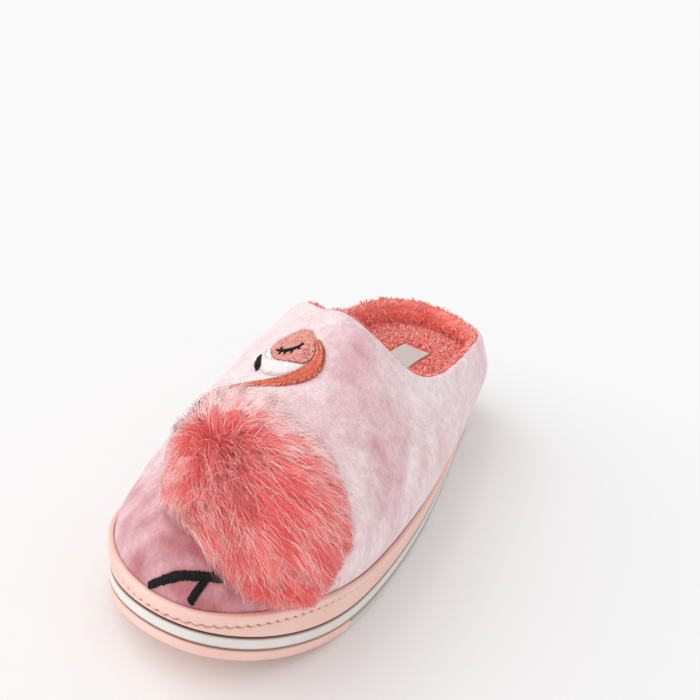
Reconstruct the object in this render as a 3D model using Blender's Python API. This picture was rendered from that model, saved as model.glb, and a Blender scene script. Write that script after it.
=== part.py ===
"""House slipper for the right foot: plush upper, two-colour moulded sole, fleece insole, fur pompom.

Metres, +Z up, toe towards -Y, inner side of the foot towards +X, floor at Z 0.
"""

import math
from collections import namedtuple

import bmesh
import bpy
import numpy as np

# Driving sizes of the last
FOOT_LENGTH = 0.2500
BALL_WIDTH = 0.0885
INSTEP_RISE = 0.0660
HEEL_RISE = 0.0280
UPPER_WALL = 0.0050

# Driving sizes of the sole
PAD_THICKNESS = 0.0048
INLAY_THICKNESS = 0.0030
MIDSOLE_HEIGHT = 0.0047
RAND_HEIGHT = 0.0120
RAND_TOE_HEIGHT = 0.0041
TOE_SPRING = 0.0150
SPRING_START_SHARE = 0.745
SIDE_OUT = 0.0008
STRIPE_RECESS = 0.0006
PAD_RIM = 0.0022
EDGE_ROUND = 0.0007
GROUND_ROUND = 0.0014
PAD_CORNER = 0.0030
POCKET_REACH = 0.0030

# Driving sizes of the rand's lip, which laps the upper
LIP_STEP = 0.0009
LIP_THICKNESS = 0.0019
LIP_HEIGHT = 0.0026
TOE_LIP_HEIGHT = 0.0044
LIP_RISE = 0.0004
TOE_LIP_RISE = 0.0042

# Driving sizes of the insole and its label
INSOLE_HEEL = 0.0165
INSOLE_FORE = 0.0095
INSOLE_ROUND = 0.0016
LABEL_LENGTH = 0.0360
LABEL_WIDTH = 0.0135
LABEL_THICKNESS = 0.0006
LABEL_ALONG_SHARE = 0.232
LABEL_ACROSS_SHARE = 0.0
LABEL_TURN = -8.0

# Driving sizes of the pompom, its place given on the upper's own grid
POMPOM_HEIGHT = 0.0170
POMPOM_AROUND_SHARE = 0.486
POMPOM_UP_SHARE = 0.430
POMPOM_HALF_AROUND_SHARE = 0.068
POMPOM_HALF_UP_SHARE = 0.262
POMPOM_LEAN_SHARE = 0.026
LOCK_WIDTH = 0.0050
LOCK_SINK = 0.0035
LOCK_TIP_LIFT = 0.0040

# Clearances between touching pieces
GAP = 0.0003
SOFT_GAP = 0.0008

# Shares that place and shape the pompom's parts
POMPOM_EDGE_SHARE = 0.97
POMPOM_DOME_POWER = 0.6
LOCK_TOE_SHARE = 0.14
LOCK_SWAY_SHARE = 0.05
LOCK_BOW_SHARE = 0.35

# Fineness of the faceted solids
AROUND = 72
OUTER_ROWS = 11
INNER_ROWS = 9
ROLL_STEPS = 3
POMPOM_SPOKES = 28
POMPOM_RINGS = 5
LOCK_SIDES = 5
LOCK_STEPS = 3

# One row for each fold line round the last, from the heel along the inner side to the toe and back.
# along is a share of FOOT_LENGTH from the heel, across a share of BALL_WIDTH with the inner side plus,
# collar_rise runs from the heel's rise at 0 to the instep's at 1, belly and crown steer the curve
# between foot and collar in shares of BALL_WIDTH, INSTEP_RISE and FOOT_LENGTH, and flare widens the
# sole towards the floor in shares of BALL_WIDTH.
Rib = namedtuple("Rib", "name foot_along foot_across collar_along collar_across collar_rise "
                        "belly_out belly_up crown_along crown_across crown_drop flare")
RIBS = (
    Rib("heel back", 0.000, 0.000, 0.047, 0.000, 0.00, 0.067, 0.175, -0.016, 0.000, 0.205, 0.000),
    Rib("heel inner", 0.047, 0.256, 0.086, 0.262, 0.00, 0.070, 0.175, -0.016, 0.044, 0.200, 0.000),
    Rib("seat inner", 0.186, 0.375, 0.194, 0.372, 0.10, 0.077, 0.175, -0.005, 0.071, 0.203, 0.000),
    Rib("waist inner", 0.421, 0.466, 0.343, 0.368, 0.13, 0.090, 0.235, 0.031, 0.093, 0.205, 0.000),
    Rib("ball inner", 0.681, 0.493, 0.475, 0.289, 0.39, 0.100, 0.320, 0.111, 0.181, 0.205, 0.005),
    Rib("toe inner", 0.887, 0.370, 0.535, 0.154, 0.81, 0.075, 0.377, 0.207, 0.205, 0.325, 0.005),
    Rib("toe tip", 1.000, 0.083, 0.544, -0.012, 1.00, 0.053, 0.377, 0.246, 0.025, 0.440, 0.000),
    Rib("toe outer", 0.943, -0.327, 0.514, -0.154, 0.89, 0.030, 0.310, 0.213, -0.132, 0.415, 0.000),
    Rib("ball outer", 0.708, -0.507, 0.438, -0.337, 0.67, 0.066, 0.256, 0.108, -0.172, 0.273, 0.000),
    Rib("waist outer", 0.443, -0.453, 0.346, -0.455, 0.34, 0.083, 0.213, 0.031, -0.099, 0.177, 0.000),
    Rib("seat outer", 0.205, -0.391, 0.209, -0.405, 0.03, 0.065, 0.173, -0.001, -0.055, 0.206, 0.000),
    Rib("heel outer", 0.051, -0.270, 0.082, -0.272, 0.01, 0.068, 0.175, -0.012, -0.035, 0.200, 0.000),
)

# One row for each pink pad under the sole: back and front in shares of FOOT_LENGTH from the heel,
# outer and inner in shares of BALL_WIDTH, where None runs to the sole's edge. A wrapping pad is seen
# from the side and has the full pad thickness, and the others lie in the midsole.
Pad = namedtuple("Pad", "name back front outer inner wraps")
PADS = (
    Pad("pad_heel", None, 0.080, None, None, True),
    Pad("pad_heel_band", 0.120, 0.200, None, None, False),
    Pad("pad_arch_inner", 0.240, 0.585, 0.140, None, False),
    Pad("pad_arch_centre", 0.265, 0.560, -0.090, 0.090, False),
    Pad("pad_arch_outer", 0.240, 0.585, None, -0.140, False),
    Pad("pad_fore_band", 0.625, 0.745, None, None, False),
    Pad("pad_toe", 0.780, None, None, None, True),
)

# One row for each ring of locks on the pompom: how many, where they start and end in shares of the
# pompom's reach from its middle, and shares of LOCK_WIDTH and LOCK_TIP_LIFT.
LockRing = namedtuple("LockRing", "count start end width lift")
LOCK_RINGS = (
    LockRing(9, 0.20, 0.68, 1.00, 1.8),
    LockRing(14, 0.50, 0.94, 0.92, 1.4),
    LockRing(19, 0.74, 1.16, 0.84, 1.0),
)

Finish = namedtuple("Finish", "name colour roughness metallic")
VELOUR = Finish("pale pink velour", (0.80, 0.52, 0.54, 1.0), 0.85, 0.0)
FLEECE = Finish("coral fleece", (0.72, 0.24, 0.21, 1.0), 0.95, 0.0)
FUR = Finish("coral fur", (0.74, 0.25, 0.24, 1.0), 0.80, 0.0)
PINK_RUBBER = Finish("salmon rubber", (0.76, 0.42, 0.36, 1.0), 0.55, 0.0)
WHITE_RUBBER = Finish("white rubber", (0.78, 0.76, 0.74, 1.0), 0.50, 0.0)
WOVEN = Finish("off-white woven tape", (0.80, 0.78, 0.74, 1.0), 0.80, 0.0)


def along_to_y(along):
    """Y of a share of the foot's length, counted from the heel."""
    return (0.5 - along) * FOOT_LENGTH


def periodic_spline(knots, values, at):
    """Closed cubic spline through values at knots, which end one full turn on, read at the places at."""
    steps = np.diff(knots)
    count = len(steps)
    slopes = (np.roll(values, -1, axis=0) - values) / steps[:, None]
    matrix = np.zeros((count, count))
    for row in range(count):
        before = steps[row - 1]
        after = steps[row]
        matrix[row, (row - 1) % count] += before
        matrix[row, row] += 2.0 * (before + after)
        matrix[row, (row + 1) % count] += after
    bends = np.linalg.solve(matrix, 6.0 * (slopes - np.roll(slopes, 1, axis=0)))
    span = np.clip(np.searchsorted(knots, at, side="right") - 1, 0, count - 1)
    following = (span + 1) % count
    width = steps[span][:, None]
    ahead = (at - knots[span])[:, None] / width
    behind = 1.0 - ahead
    bend_part = ((behind ** 3 - behind) * bends[span] + (ahead ** 3 - ahead) * bends[following])
    return behind * values[span] + ahead * values[following] + bend_part * width ** 2 / 6.0


def rib_knots():
    """Places of the ribs round the foot, by the straight distance from each to the next."""
    foot = np.array([(rib.foot_across * BALL_WIDTH, along_to_y(rib.foot_along)) for rib in RIBS])
    lengths = np.linalg.norm(np.roll(foot, -1, axis=0) - foot, axis=1)
    knots = np.concatenate([[0.0], np.cumsum(lengths)])
    return knots / knots[-1]


KNOTS = rib_knots()


def ribs_at(around, *fields):
    """Values of the ribs' fields at places round the foot, 0 to 1, one column for each field."""
    values = np.array([[getattr(rib, field) for field in fields] for rib in RIBS])
    return periodic_spline(KNOTS, values, np.mod(around, 1.0))


def foot_outline(around):
    """The feather line in plan, and its normal pointing out of the foot."""
    def place(at):
        shares = ribs_at(at, "foot_across", "foot_along")
        return np.column_stack([shares[:, 0] * BALL_WIDTH, along_to_y(shares[:, 1])])

    step = 1e-4
    tangent = place(around + step) - place(around - step)
    normal = np.column_stack([-tangent[:, 1], tangent[:, 0]])
    return place(around), normal / np.linalg.norm(normal, axis=1)[:, None]


def spring_share(y):
    """How far along the toe spring a place lies, 0 where the sole is flat and 1 at the toe."""
    along = 0.5 - y / FOOT_LENGTH
    return np.clip((along - SPRING_START_SHARE) / (1.0 - SPRING_START_SHARE), 0.0, None) ** 2


def floor_height(y):
    """Height of the outsole's underside."""
    return TOE_SPRING * spring_share(y)


def midsole_top(y):
    """Height where the midsole ends and the rand begins."""
    return floor_height(y) + PAD_THICKNESS + MIDSOLE_HEIGHT


def feather_height(y):
    """Height of the feather line, where the upper meets the sole."""
    toe_drop = (RAND_HEIGHT - RAND_TOE_HEIGHT) * spring_share(y)
    return midsole_top(y) + RAND_HEIGHT - toe_drop


def upper_curves(around):
    """The four steering points of the upper's wall at places round the foot: foot, belly, crown, collar."""
    foot, normal = foot_outline(around)
    shares = ribs_at(around, "belly_out", "belly_up", "collar_along", "collar_across", "collar_rise",
                     "crown_along", "crown_across", "crown_drop")
    belly_out, belly_up, along, across, rise, crown_along, crown_across, crown_drop = shares.T
    feather = feather_height(foot[:, 1])
    start = np.column_stack([foot, feather])
    belly = start + np.column_stack([normal * (belly_out * BALL_WIDTH)[:, None], belly_up * INSTEP_RISE])
    collar_y = along_to_y(along)
    collar_z = feather_height(collar_y) + HEEL_RISE + (INSTEP_RISE - HEEL_RISE) * rise
    collar = np.column_stack([across * BALL_WIDTH, collar_y, collar_z])
    crown = collar + np.column_stack([crown_across * BALL_WIDTH, -crown_along * FOOT_LENGTH,
                                      -crown_drop * INSTEP_RISE])
    return start, belly, crown, collar


def upper_surface(around, up):
    """Points of the upper's outer face at paired places: around 0 to 1, up 0 at the foot to 1 at the collar."""
    start, belly, crown, collar = upper_curves(around)
    high = np.asarray(up)[:, None]
    low = 1.0 - high
    return low ** 3 * start + 3 * low ** 2 * high * belly + 3 * low * high ** 2 * crown + high ** 3 * collar


def upper_frame(around, up):
    """Points of the upper's outer face, with the outward normal and the direction towards the collar."""
    step = 1e-3
    ahead = upper_surface(around + step, up) - upper_surface(around - step, up)
    rise = upper_surface(around, up + step) - upper_surface(around, up - step)
    rise = rise / np.linalg.norm(rise, axis=1)[:, None]
    normal = np.cross(rise, ahead)
    return upper_surface(around, up), normal / np.linalg.norm(normal, axis=1)[:, None], rise


RING_AROUND = np.arange(AROUND) / AROUND
FOOT, FOOT_NORMAL = foot_outline(RING_AROUND)


def wall_ring(up, depth):
    """One ring of the upper at a share up and a depth inside its outer face."""
    points, normal, _ = upper_frame(RING_AROUND, np.full(AROUND, up))
    return points - normal * depth


def sole_ring(out, height):
    """One ring round the sole: out from the feather line by out, at the height that height(y) gives."""
    plan = FOOT + FOOT_NORMAL * np.broadcast_to(out, AROUND)[:, None]
    return np.column_stack([plan, height(plan[:, 1])])


def bridge(mesh, lower, upper):
    """Faces between two rings of vertices, facing out when lower is under upper."""
    for here in range(len(lower)):
        ahead = (here + 1) % len(lower)
        mesh.faces.new((lower[here], upper[here], upper[ahead], lower[ahead]))


def ladder(mesh, ring, faces_up):
    """Rungs across a ring, from each place on the inner side to its partner on the outer side."""
    count = len(ring)
    for here in range(count // 2):
        corners = [ring[here], ring[here + 1], ring[count - here - 1], ring[-here]]
        corners = list(dict.fromkeys(corners))
        if faces_up:
            corners.reverse()
        mesh.faces.new(corners)


def ring_body(rings, hollow=False):
    """A bmesh lofted through rings from the lowest up, capped, or closed on itself when hollow."""
    mesh = bmesh.new()
    loops = [[mesh.verts.new(point) for point in ring] for ring in rings]
    for lower, upper in zip(loops, loops[1:]):
        bridge(mesh, lower, upper)
    if hollow:
        bridge(mesh, loops[-1], loops[0])
    else:
        ladder(mesh, loops[0], False)
        ladder(mesh, loops[-1], True)
    bmesh.ops.recalc_face_normals(mesh, faces=mesh.faces[:])
    return mesh


def material_of(finish):
    """The Principled material of a finish, made once."""
    found = bpy.data.materials.get(finish.name)
    if found:
        return found
    material = bpy.data.materials.new(finish.name)
    material.use_nodes = True
    shader = material.node_tree.nodes["Principled BSDF"]
    shader.inputs["Base Color"].default_value = finish.colour
    shader.inputs["Roughness"].default_value = finish.roughness
    shader.inputs["Metallic"].default_value = finish.metallic
    return material


def place_object(name, mesh, collection, finish=None):
    """An object of a bmesh in a collection, smooth-shaded where it is round."""
    data = bpy.data.meshes.new(name)
    mesh.to_mesh(data)
    mesh.free()
    data.shade_smooth()
    data.set_sharp_from_angle(angle=math.radians(40.0))
    thing = bpy.data.objects.new(name, data)
    collection.objects.link(thing)
    if finish:
        data.materials.append(material_of(finish))
    return thing


def hide_cutter(thing):
    """Mark an object as a cutter, which is no piece of the slipper."""
    thing.hide_render = True
    thing.display_type = "WIRE"


def apply_boolean(thing, operation, cutters):
    """Cut or join an object with every object of a collection, and keep the result as its mesh."""
    modifier = thing.modifiers.new(operation.lower(), "BOOLEAN")
    modifier.operation = operation
    modifier.operand_type = "COLLECTION"
    modifier.collection = cutters
    modifier.solver = "EXACT"
    evaluated = thing.evaluated_get(bpy.context.evaluated_depsgraph_get())
    result = bpy.data.meshes.new_from_object(evaluated)
    thing.modifiers.remove(modifier)
    old = thing.data
    name = old.name
    thing.data = result
    bpy.data.meshes.remove(old)
    result.name = name


def flare_at(around):
    """How much wider the sole is at the floor than at its top, round the foot."""
    return ribs_at(around, "flare")[:, 0] * BALL_WIDTH


def flared(level):
    """Outward place of the sole's side at a height above its underside, which flares to the floor."""
    share = 1.0 - level / (PAD_THICKNESS + MIDSOLE_HEIGHT)
    return SIDE_OUT + flare_at(RING_AROUND) * share


def cut_away(mesh, axis, place, keep_above):
    """Cut a body with a plane across an axis, close the cut, and keep the side above or below it."""
    normal = [0.0, 0.0, 0.0]
    normal[axis] = -1.0 if keep_above else 1.0
    point = [0.0, 0.0, 0.0]
    point[axis] = place
    whole = mesh.verts[:] + mesh.edges[:] + mesh.faces[:]
    bmesh.ops.bisect_plane(mesh, geom=whole, plane_co=point, plane_no=normal, clear_outer=True)
    open_edges = [edge for edge in mesh.edges if edge.is_boundary]
    bmesh.ops.holes_fill(mesh, edges=open_edges, sides=0)


def round_corners(mesh, xs, ys):
    """Round the upright edges where a pad's lengthwise cuts meet its cross cuts."""
    near = 1e-6
    corners = []
    for edge in mesh.edges:
        ends = [vertex.co for vertex in edge.verts]
        if any(all(abs(end.x - x) < near for end in ends) for x in xs):
            if any(all(abs(end.y - y) < near for end in ends) for y in ys):
                corners.append(edge)
    if corners:
        bmesh.ops.bevel(mesh, geom=corners, offset=PAD_CORNER, offset_type="OFFSET", segments=3,
                        profile=0.5, affect="EDGES", material=-1)


def pad_body(pad, clearance=0.0):
    """A pad's body, or with a clearance the body that cuts its pocket out of the midsole."""
    thickness = PAD_THICKNESS if pad.wraps else INLAY_THICKNESS
    rim = 0.0 if pad.wraps else PAD_RIM
    if clearance:
        past_side = POCKET_REACH if pad.wraps else clearance - PAD_RIM
        levels = ((-POCKET_REACH, past_side), (thickness + clearance, past_side))
        rings = [sole_ring(flared(max(level, 0.0)) + out, lambda y, level=level: floor_height(y) + level)
                 for level, out in levels]
    else:
        levels = ((0.0, -GROUND_ROUND - rim), (GROUND_ROUND, -rim),
                  (thickness - EDGE_ROUND, -rim), (thickness, -rim - EDGE_ROUND))
        rings = [sole_ring(flared(level) + out, lambda y, level=level: floor_height(y) + level)
                 for level, out in levels]
    mesh = ring_body(rings)
    ys = []
    if pad.back is not None:
        ys.append(along_to_y(pad.back) + clearance)
        cut_away(mesh, 1, ys[-1], False)
    if pad.front is not None:
        ys.append(along_to_y(pad.front) - clearance)
        cut_away(mesh, 1, ys[-1], True)
    xs = []
    if pad.outer is not None:
        xs.append(pad.outer * BALL_WIDTH - clearance)
        cut_away(mesh, 0, xs[-1], True)
    if pad.inner is not None:
        xs.append(pad.inner * BALL_WIDTH + clearance)
        cut_away(mesh, 0, xs[-1], False)
    round_corners(mesh, xs, ys)
    bmesh.ops.recalc_face_normals(mesh, faces=mesh.faces[:])
    return mesh


def build_pads(collection):
    """The pink pads that the shoe walks on."""
    for pad in PADS:
        place_object(pad.name, pad_body(pad), collection, PINK_RUBBER)


def build_midsole(collection, cutters):
    """The white midsole, with a pocket for each pad, whose stripes show between the pads."""
    top = PAD_THICKNESS + MIDSOLE_HEIGHT
    levels = ((STRIPE_RECESS, -GROUND_ROUND), (STRIPE_RECESS + GROUND_ROUND, 0.0),
              (top - EDGE_ROUND, 0.0), (top, -EDGE_ROUND))
    rings = [sole_ring(flared(level) + out, lambda y, level=level: floor_height(y) + level)
             for level, out in levels]
    midsole = place_object("midsole", ring_body(rings), collection, WHITE_RUBBER)
    for pad in PADS:
        pocket = place_object("pocket_" + pad.name, pad_body(pad, GAP), cutters)
        hide_cutter(pocket)
    apply_boolean(midsole, "DIFFERENCE", cutters)


def toe_share(around):
    """1 round the toe, fading to 0 by the ball on both sides."""
    foot, _ = foot_outline(around)
    along = 0.5 - foot[:, 1] / FOOT_LENGTH
    share = np.clip((along - 0.72) / (0.93 - 0.72), 0.0, 1.0)
    return share * share * (3.0 - 2.0 * share)


def upper_at_height(around, height, depth=0.0):
    """Plan places where the upper's wall, at a depth inside its outer face, first reaches a height."""
    ups = np.linspace(0.0, 0.9, 46)
    rows = []
    for up in ups:
        points, normal, _ = upper_frame(around, np.full(len(around), up))
        rows.append(points - normal * depth)
    rows = np.array(rows)
    result = np.empty((len(around), 2))
    for column in range(len(around)):
        heights = np.maximum.accumulate(rows[:, column, 2])
        for axis in range(2):
            result[column, axis] = np.interp(height[column], heights, rows[:, column, axis])
    return result


def build_rand(collection):
    """The pink rand: a plate that carries insole and upper, with a lip that laps the upper all round."""
    toe = toe_share(RING_AROUND)
    feather = feather_height(FOOT[:, 1])
    lip_top = feather + LIP_RISE + (TOE_LIP_RISE - LIP_RISE) * toe
    lip_foot = lip_top - LIP_HEIGHT - (TOE_LIP_HEIGHT - LIP_HEIGHT) * toe
    lip_foot = np.maximum(lip_foot, midsole_top(FOOT[:, 1]) + 4.0 * EDGE_ROUND)
    lap = upper_at_height(RING_AROUND, lip_top) + FOOT_NORMAL * GAP
    lap_out = ((lap - FOOT) * FOOT_NORMAL).sum(axis=1)
    lip_out = np.maximum(lap_out + LIP_THICKNESS, SIDE_OUT + LIP_STEP)
    round_top = 0.35 * LIP_THICKNESS

    def ring(out, height):
        plan = FOOT + FOOT_NORMAL * np.broadcast_to(out, AROUND)[:, None]
        return np.column_stack([plan, np.broadcast_to(height, AROUND)])

    rings = [
        sole_ring(SIDE_OUT - EDGE_ROUND, lambda y: midsole_top(y) + GAP),
        sole_ring(SIDE_OUT, lambda y: midsole_top(y) + GAP + EDGE_ROUND),
        ring(SIDE_OUT, lip_foot),
        ring(SIDE_OUT + LIP_STEP, lip_foot + 0.5 * EDGE_ROUND),
        ring(lip_out, 0.4 * lip_foot + 0.6 * lip_top),
        ring(lip_out - round_top, lip_top),
        ring(lap_out, lip_top),
        sole_ring(GAP, lambda y: feather_height(y) - GAP),
    ]
    place_object("rand", ring_body(rings), collection, PINK_RUBBER)


def build_upper(collection):
    """The upper: one hollow wall, open at the collar and underneath, its collar edge rolled round."""
    outer = [wall_ring(up, 0.0) for up in np.linspace(0.0, 1.0, OUTER_ROWS)]
    top, normal, rise = upper_frame(RING_AROUND, np.full(AROUND, 1.0))
    middle = top - normal * UPPER_WALL / 2
    roll = []
    for step in range(1, ROLL_STEPS + 1):
        turn = math.pi * step / (ROLL_STEPS + 1)
        roll.append(middle + UPPER_WALL / 2 * (math.cos(turn) * normal + math.sin(turn) * rise))
    inner = [wall_ring(up, UPPER_WALL) for up in np.linspace(1.0, 0.0, INNER_ROWS)]
    inner[-1][:, 2] = feather_height(inner[-1][:, 1])
    place_object("upper", ring_body(outer + roll + inner, hollow=True), collection, VELOUR)


def insole_thickness(y):
    """The footbed is thick under the heel and thins towards the ball."""
    along = 0.5 - y / FOOT_LENGTH
    share = np.clip((along - 0.38) / (0.68 - 0.38), 0.0, 1.0)
    return INSOLE_HEEL + (INSOLE_FORE - INSOLE_HEEL) * share * share * (3.0 - 2.0 * share)


def build_insole(collection):
    """The footbed, which fills the upper's foot from wall to wall and rises to the heel."""
    base = feather_height(FOOT[:, 1])
    thickness = insole_thickness(FOOT[:, 1])
    inside = FOOT_NORMAL * (GAP + SOFT_GAP)
    rings = []
    for share in (0.0, 0.35, 0.70, 1.0):
        plan = upper_at_height(RING_AROUND, base + share * thickness, UPPER_WALL) - inside
        lift = -INSOLE_ROUND if share == 1.0 else 0.0
        height = feather_height(plan[:, 1]) + share * insole_thickness(plan[:, 1]) + lift
        rings.append(np.column_stack([plan, height]))
    plan = rings[-1][:, :2] - FOOT_NORMAL * INSOLE_ROUND
    rings.append(np.column_stack([plan, insole_top(plan[:, 1])]))
    place_object("insole", ring_body(rings), collection, FLEECE)


def insole_top(y):
    """Height of the footbed's top over the length of the foot."""
    return feather_height(y) + insole_thickness(y)


def build_label(collection):
    """The woven label on the footbed, a flat strip along the foot under the throat."""
    mesh = bmesh.new()
    bmesh.ops.create_cube(mesh, size=1.0)
    turn = math.radians(LABEL_TURN)
    middle_y = along_to_y(LABEL_ALONG_SHARE)
    top = insole_top(middle_y) + GAP
    for vertex in mesh.verts:
        across = vertex.co.x * LABEL_WIDTH
        along = vertex.co.y * LABEL_LENGTH
        vertex.co.x = LABEL_ACROSS_SHARE * BALL_WIDTH + across * math.cos(turn) - along * math.sin(turn)
        vertex.co.y = middle_y + across * math.sin(turn) + along * math.cos(turn)
        vertex.co.z = top + (vertex.co.z + 0.5) * LABEL_THICKNESS
    place_object("insole_label", mesh, collection, WOVEN)


def pompom_point(angle, radius, height):
    """Points over the upper, by a turn and a reach from the pompom's middle and a height off the velour."""
    lean = POMPOM_LEAN_SHARE * radius * np.sin(angle)
    around = POMPOM_AROUND_SHARE + POMPOM_HALF_AROUND_SHARE * radius * np.cos(angle) + lean
    up = POMPOM_UP_SHARE + POMPOM_HALF_UP_SHARE * radius * np.sin(angle)
    points, normal, _ = upper_frame(around, up)
    return points + normal * np.asarray(height)[:, None], normal


def pompom_height(radius):
    """Height of the fur's body over the velour, full in the middle and low at its edge."""
    return SOFT_GAP + POMPOM_HEIGHT * (1.0 - radius ** 2) ** POMPOM_DOME_POWER


def pompom_body():
    """The pompom's body: a dome whose underside follows the upper."""
    mesh = bmesh.new()
    angles = 2 * math.pi * np.arange(POMPOM_SPOKES) / POMPOM_SPOKES
    shares = POMPOM_EDGE_SHARE * np.sin(0.5 * math.pi * np.arange(1, POMPOM_RINGS + 1) / POMPOM_RINGS)
    top_rings = [pompom_point(angles, np.full(POMPOM_SPOKES, share),
                              np.full(POMPOM_SPOKES, pompom_height(share)))[0] for share in shares]
    low_rings = [pompom_point(angles, np.full(POMPOM_SPOKES, share),
                              np.full(POMPOM_SPOKES, SOFT_GAP))[0] for share in shares]
    middle = np.zeros(1)
    top_point = pompom_point(middle, middle, np.full(1, pompom_height(0.0)))[0][0]
    low_point = pompom_point(middle, middle, np.full(1, SOFT_GAP))[0][0]
    loops = [[mesh.verts.new(point) for point in ring] for ring in low_rings + top_rings[::-1]]
    for lower, upper in zip(loops, loops[1:]):
        bridge(mesh, lower, upper)
    for loop, point in ((loops[0], low_point), (loops[-1], top_point)):
        tip = mesh.verts.new(point)
        for here in range(POMPOM_SPOKES):
            mesh.faces.new((loop[here], loop[(here + 1) % POMPOM_SPOKES], tip))
    bmesh.ops.recalc_face_normals(mesh, faces=mesh.faces[:])
    return mesh


def lock_body(angle, start, end, width, lift):
    """One lock of fur: a tapering, slightly bowed horn from inside the body out past its edge."""
    mesh = bmesh.new()
    shares = np.linspace(0.0, 1.0, LOCK_STEPS + 1)
    radius = start + (end - start) * shares
    clear = lift + SOFT_GAP
    root = pompom_height(start) - LOCK_SINK
    heights = root + (clear - root) * shares ** 1.3 + LOCK_BOW_SHARE * width * np.sin(math.pi * shares)
    widths = width * (1.0 - shares) ** 0.7
    heights = np.maximum(heights, widths + 2.0 * SOFT_GAP)
    centres, normals = pompom_point(np.full(len(shares), angle), radius, heights)
    tangents = np.gradient(centres, axis=0)
    sides = np.cross(tangents, normals)
    sides = sides / np.linalg.norm(sides, axis=1)[:, None]
    ups = np.cross(sides, tangents)
    ups = ups / np.linalg.norm(ups, axis=1)[:, None]
    loops = []
    for centre, side, up, half in zip(centres[:-1], sides[:-1], ups[:-1], widths[:-1]):
        loop = []
        for corner in range(LOCK_SIDES):
            turn = 2 * math.pi * (corner + 0.25) / LOCK_SIDES
            loop.append(mesh.verts.new(centre + half * (math.cos(turn) * side + math.sin(turn) * up)))
        loops.append(loop)
    for lower, upper in zip(loops, loops[1:]):
        bridge(mesh, lower, upper)
    mesh.faces.new(loops[0])
    tip = mesh.verts.new(centres[-1])
    for corner in range(LOCK_SIDES):
        mesh.faces.new((loops[-1][corner], loops[-1][(corner + 1) % LOCK_SIDES], tip))
    bmesh.ops.recalc_face_normals(mesh, faces=mesh.faces[:])
    return mesh


def build_pompom(collection, cutters):
    """The pompom: its body with rings of locks fused on, each ring half a step round from the last."""
    pompom = place_object("pompom", pompom_body(), collection, FUR)
    number = 0
    for index, ring in enumerate(LOCK_RINGS):
        for place in range(ring.count):
            angle = 2 * math.pi * (place + 0.5 * (index % 2)) / ring.count
            sway = LOCK_SWAY_SHARE * math.sin(2.4 * number)
            toe_side = max(0.0, -math.sin(angle))
            mesh = lock_body(angle + sway, ring.start, ring.end + sway + LOCK_TOE_SHARE * toe_side,
                             LOCK_WIDTH * ring.width, LOCK_TIP_LIFT * ring.lift)
            hide_cutter(place_object("lock_%02d" % number, mesh, cutters))
            number += 1
    apply_boolean(pompom, "UNION", cutters)


def centre_on_floor(collections):
    """Move every mesh so that the middle of the pieces' box is at X 0 and Y 0, over the floor at Z 0."""
    pieces = [thing for thing in collections[0].objects]
    corners = np.concatenate([np.array([vertex.co[:] for vertex in thing.data.vertices]) for thing in pieces])
    middle = (corners.min(axis=0) + corners.max(axis=0)) / 2
    for collection in collections:
        for thing in collection.objects:
            for vertex in thing.data.vertices:
                vertex.co.x -= middle[0]
                vertex.co.y -= middle[1]


def new_collection(name):
    """A collection linked to the scene."""
    collection = bpy.data.collections.new(name)
    bpy.context.scene.collection.children.link(collection)
    return collection


def main():
    for thing in list(bpy.data.objects):
        bpy.data.objects.remove(thing)
    slipper = new_collection("House slipper")
    pockets = new_collection("Midsole pockets")
    locks = new_collection("Pompom locks")
    build_pads(slipper)
    build_midsole(slipper, pockets)
    build_rand(slipper)
    build_upper(slipper)
    build_insole(slipper)
    build_label(slipper)
    build_pompom(slipper, locks)
    centre_on_floor((slipper, pockets, locks))


main()
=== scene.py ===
"""Looks of the right-foot house slipper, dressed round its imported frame.

Velour upper, fleece lining and footbed, fur pompom, embroidered bird and two-colour moulded sole.
Metres, +Z up, toe towards -Y, inner side of the foot towards +X, floor at Z 0.
"""

import logging
import math
from dataclasses import dataclass, field
from enum import Enum
from itertools import product
from typing import Callable, Sequence

import bmesh
import bpy
import numpy as np
from mathutils import Matrix, Vector


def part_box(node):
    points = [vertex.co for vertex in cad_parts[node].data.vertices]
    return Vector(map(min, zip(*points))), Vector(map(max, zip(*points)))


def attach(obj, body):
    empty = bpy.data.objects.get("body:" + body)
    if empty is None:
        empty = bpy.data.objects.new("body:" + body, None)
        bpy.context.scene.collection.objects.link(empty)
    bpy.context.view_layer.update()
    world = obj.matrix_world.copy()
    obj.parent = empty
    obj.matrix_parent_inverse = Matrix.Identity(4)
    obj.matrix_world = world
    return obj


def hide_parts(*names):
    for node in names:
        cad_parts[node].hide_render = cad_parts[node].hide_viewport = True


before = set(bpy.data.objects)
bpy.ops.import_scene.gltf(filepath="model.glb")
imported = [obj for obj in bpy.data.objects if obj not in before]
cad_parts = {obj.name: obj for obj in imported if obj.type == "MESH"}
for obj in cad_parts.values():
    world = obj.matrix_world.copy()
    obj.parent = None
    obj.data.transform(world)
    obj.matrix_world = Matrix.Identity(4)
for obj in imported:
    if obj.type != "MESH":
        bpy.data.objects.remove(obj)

LOG = logging.getLogger("slipper")
BODY = "root"
TINY = 1e-6
MILLIMETRE = 1e-3
CANDIDATES = 60000
Colour = tuple[float, float, float]
Numbers = np.ndarray | float


class Slot(Enum):
    """The record's material slots."""

    VELOUR = "velour"
    FLEECE = "fleece"
    FUR = "fur"
    WOVEN = "woven"
    PINK_RUBBER = "pink_rubber"
    WHITE_RUBBER = "white_rubber"


def shade(red: int, green: int, blue: int) -> Colour:
    """Linear colour of a screen colour.

    Args:
        red: Red, 0 to 255.
        green: Green, 0 to 255.
        blue: Blue, 0 to 255.

    Returns:
        The colour as Blender's shaders take it.
    """
    def linear(value: float) -> float:
        """One channel, from the screen's curve to linear light."""
        share = value / 255.0
        return share / 12.92 if share <= 0.04045 else ((share + 0.055) / 1.055) ** 2.4

    return linear(red), linear(green), linear(blue)


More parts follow.
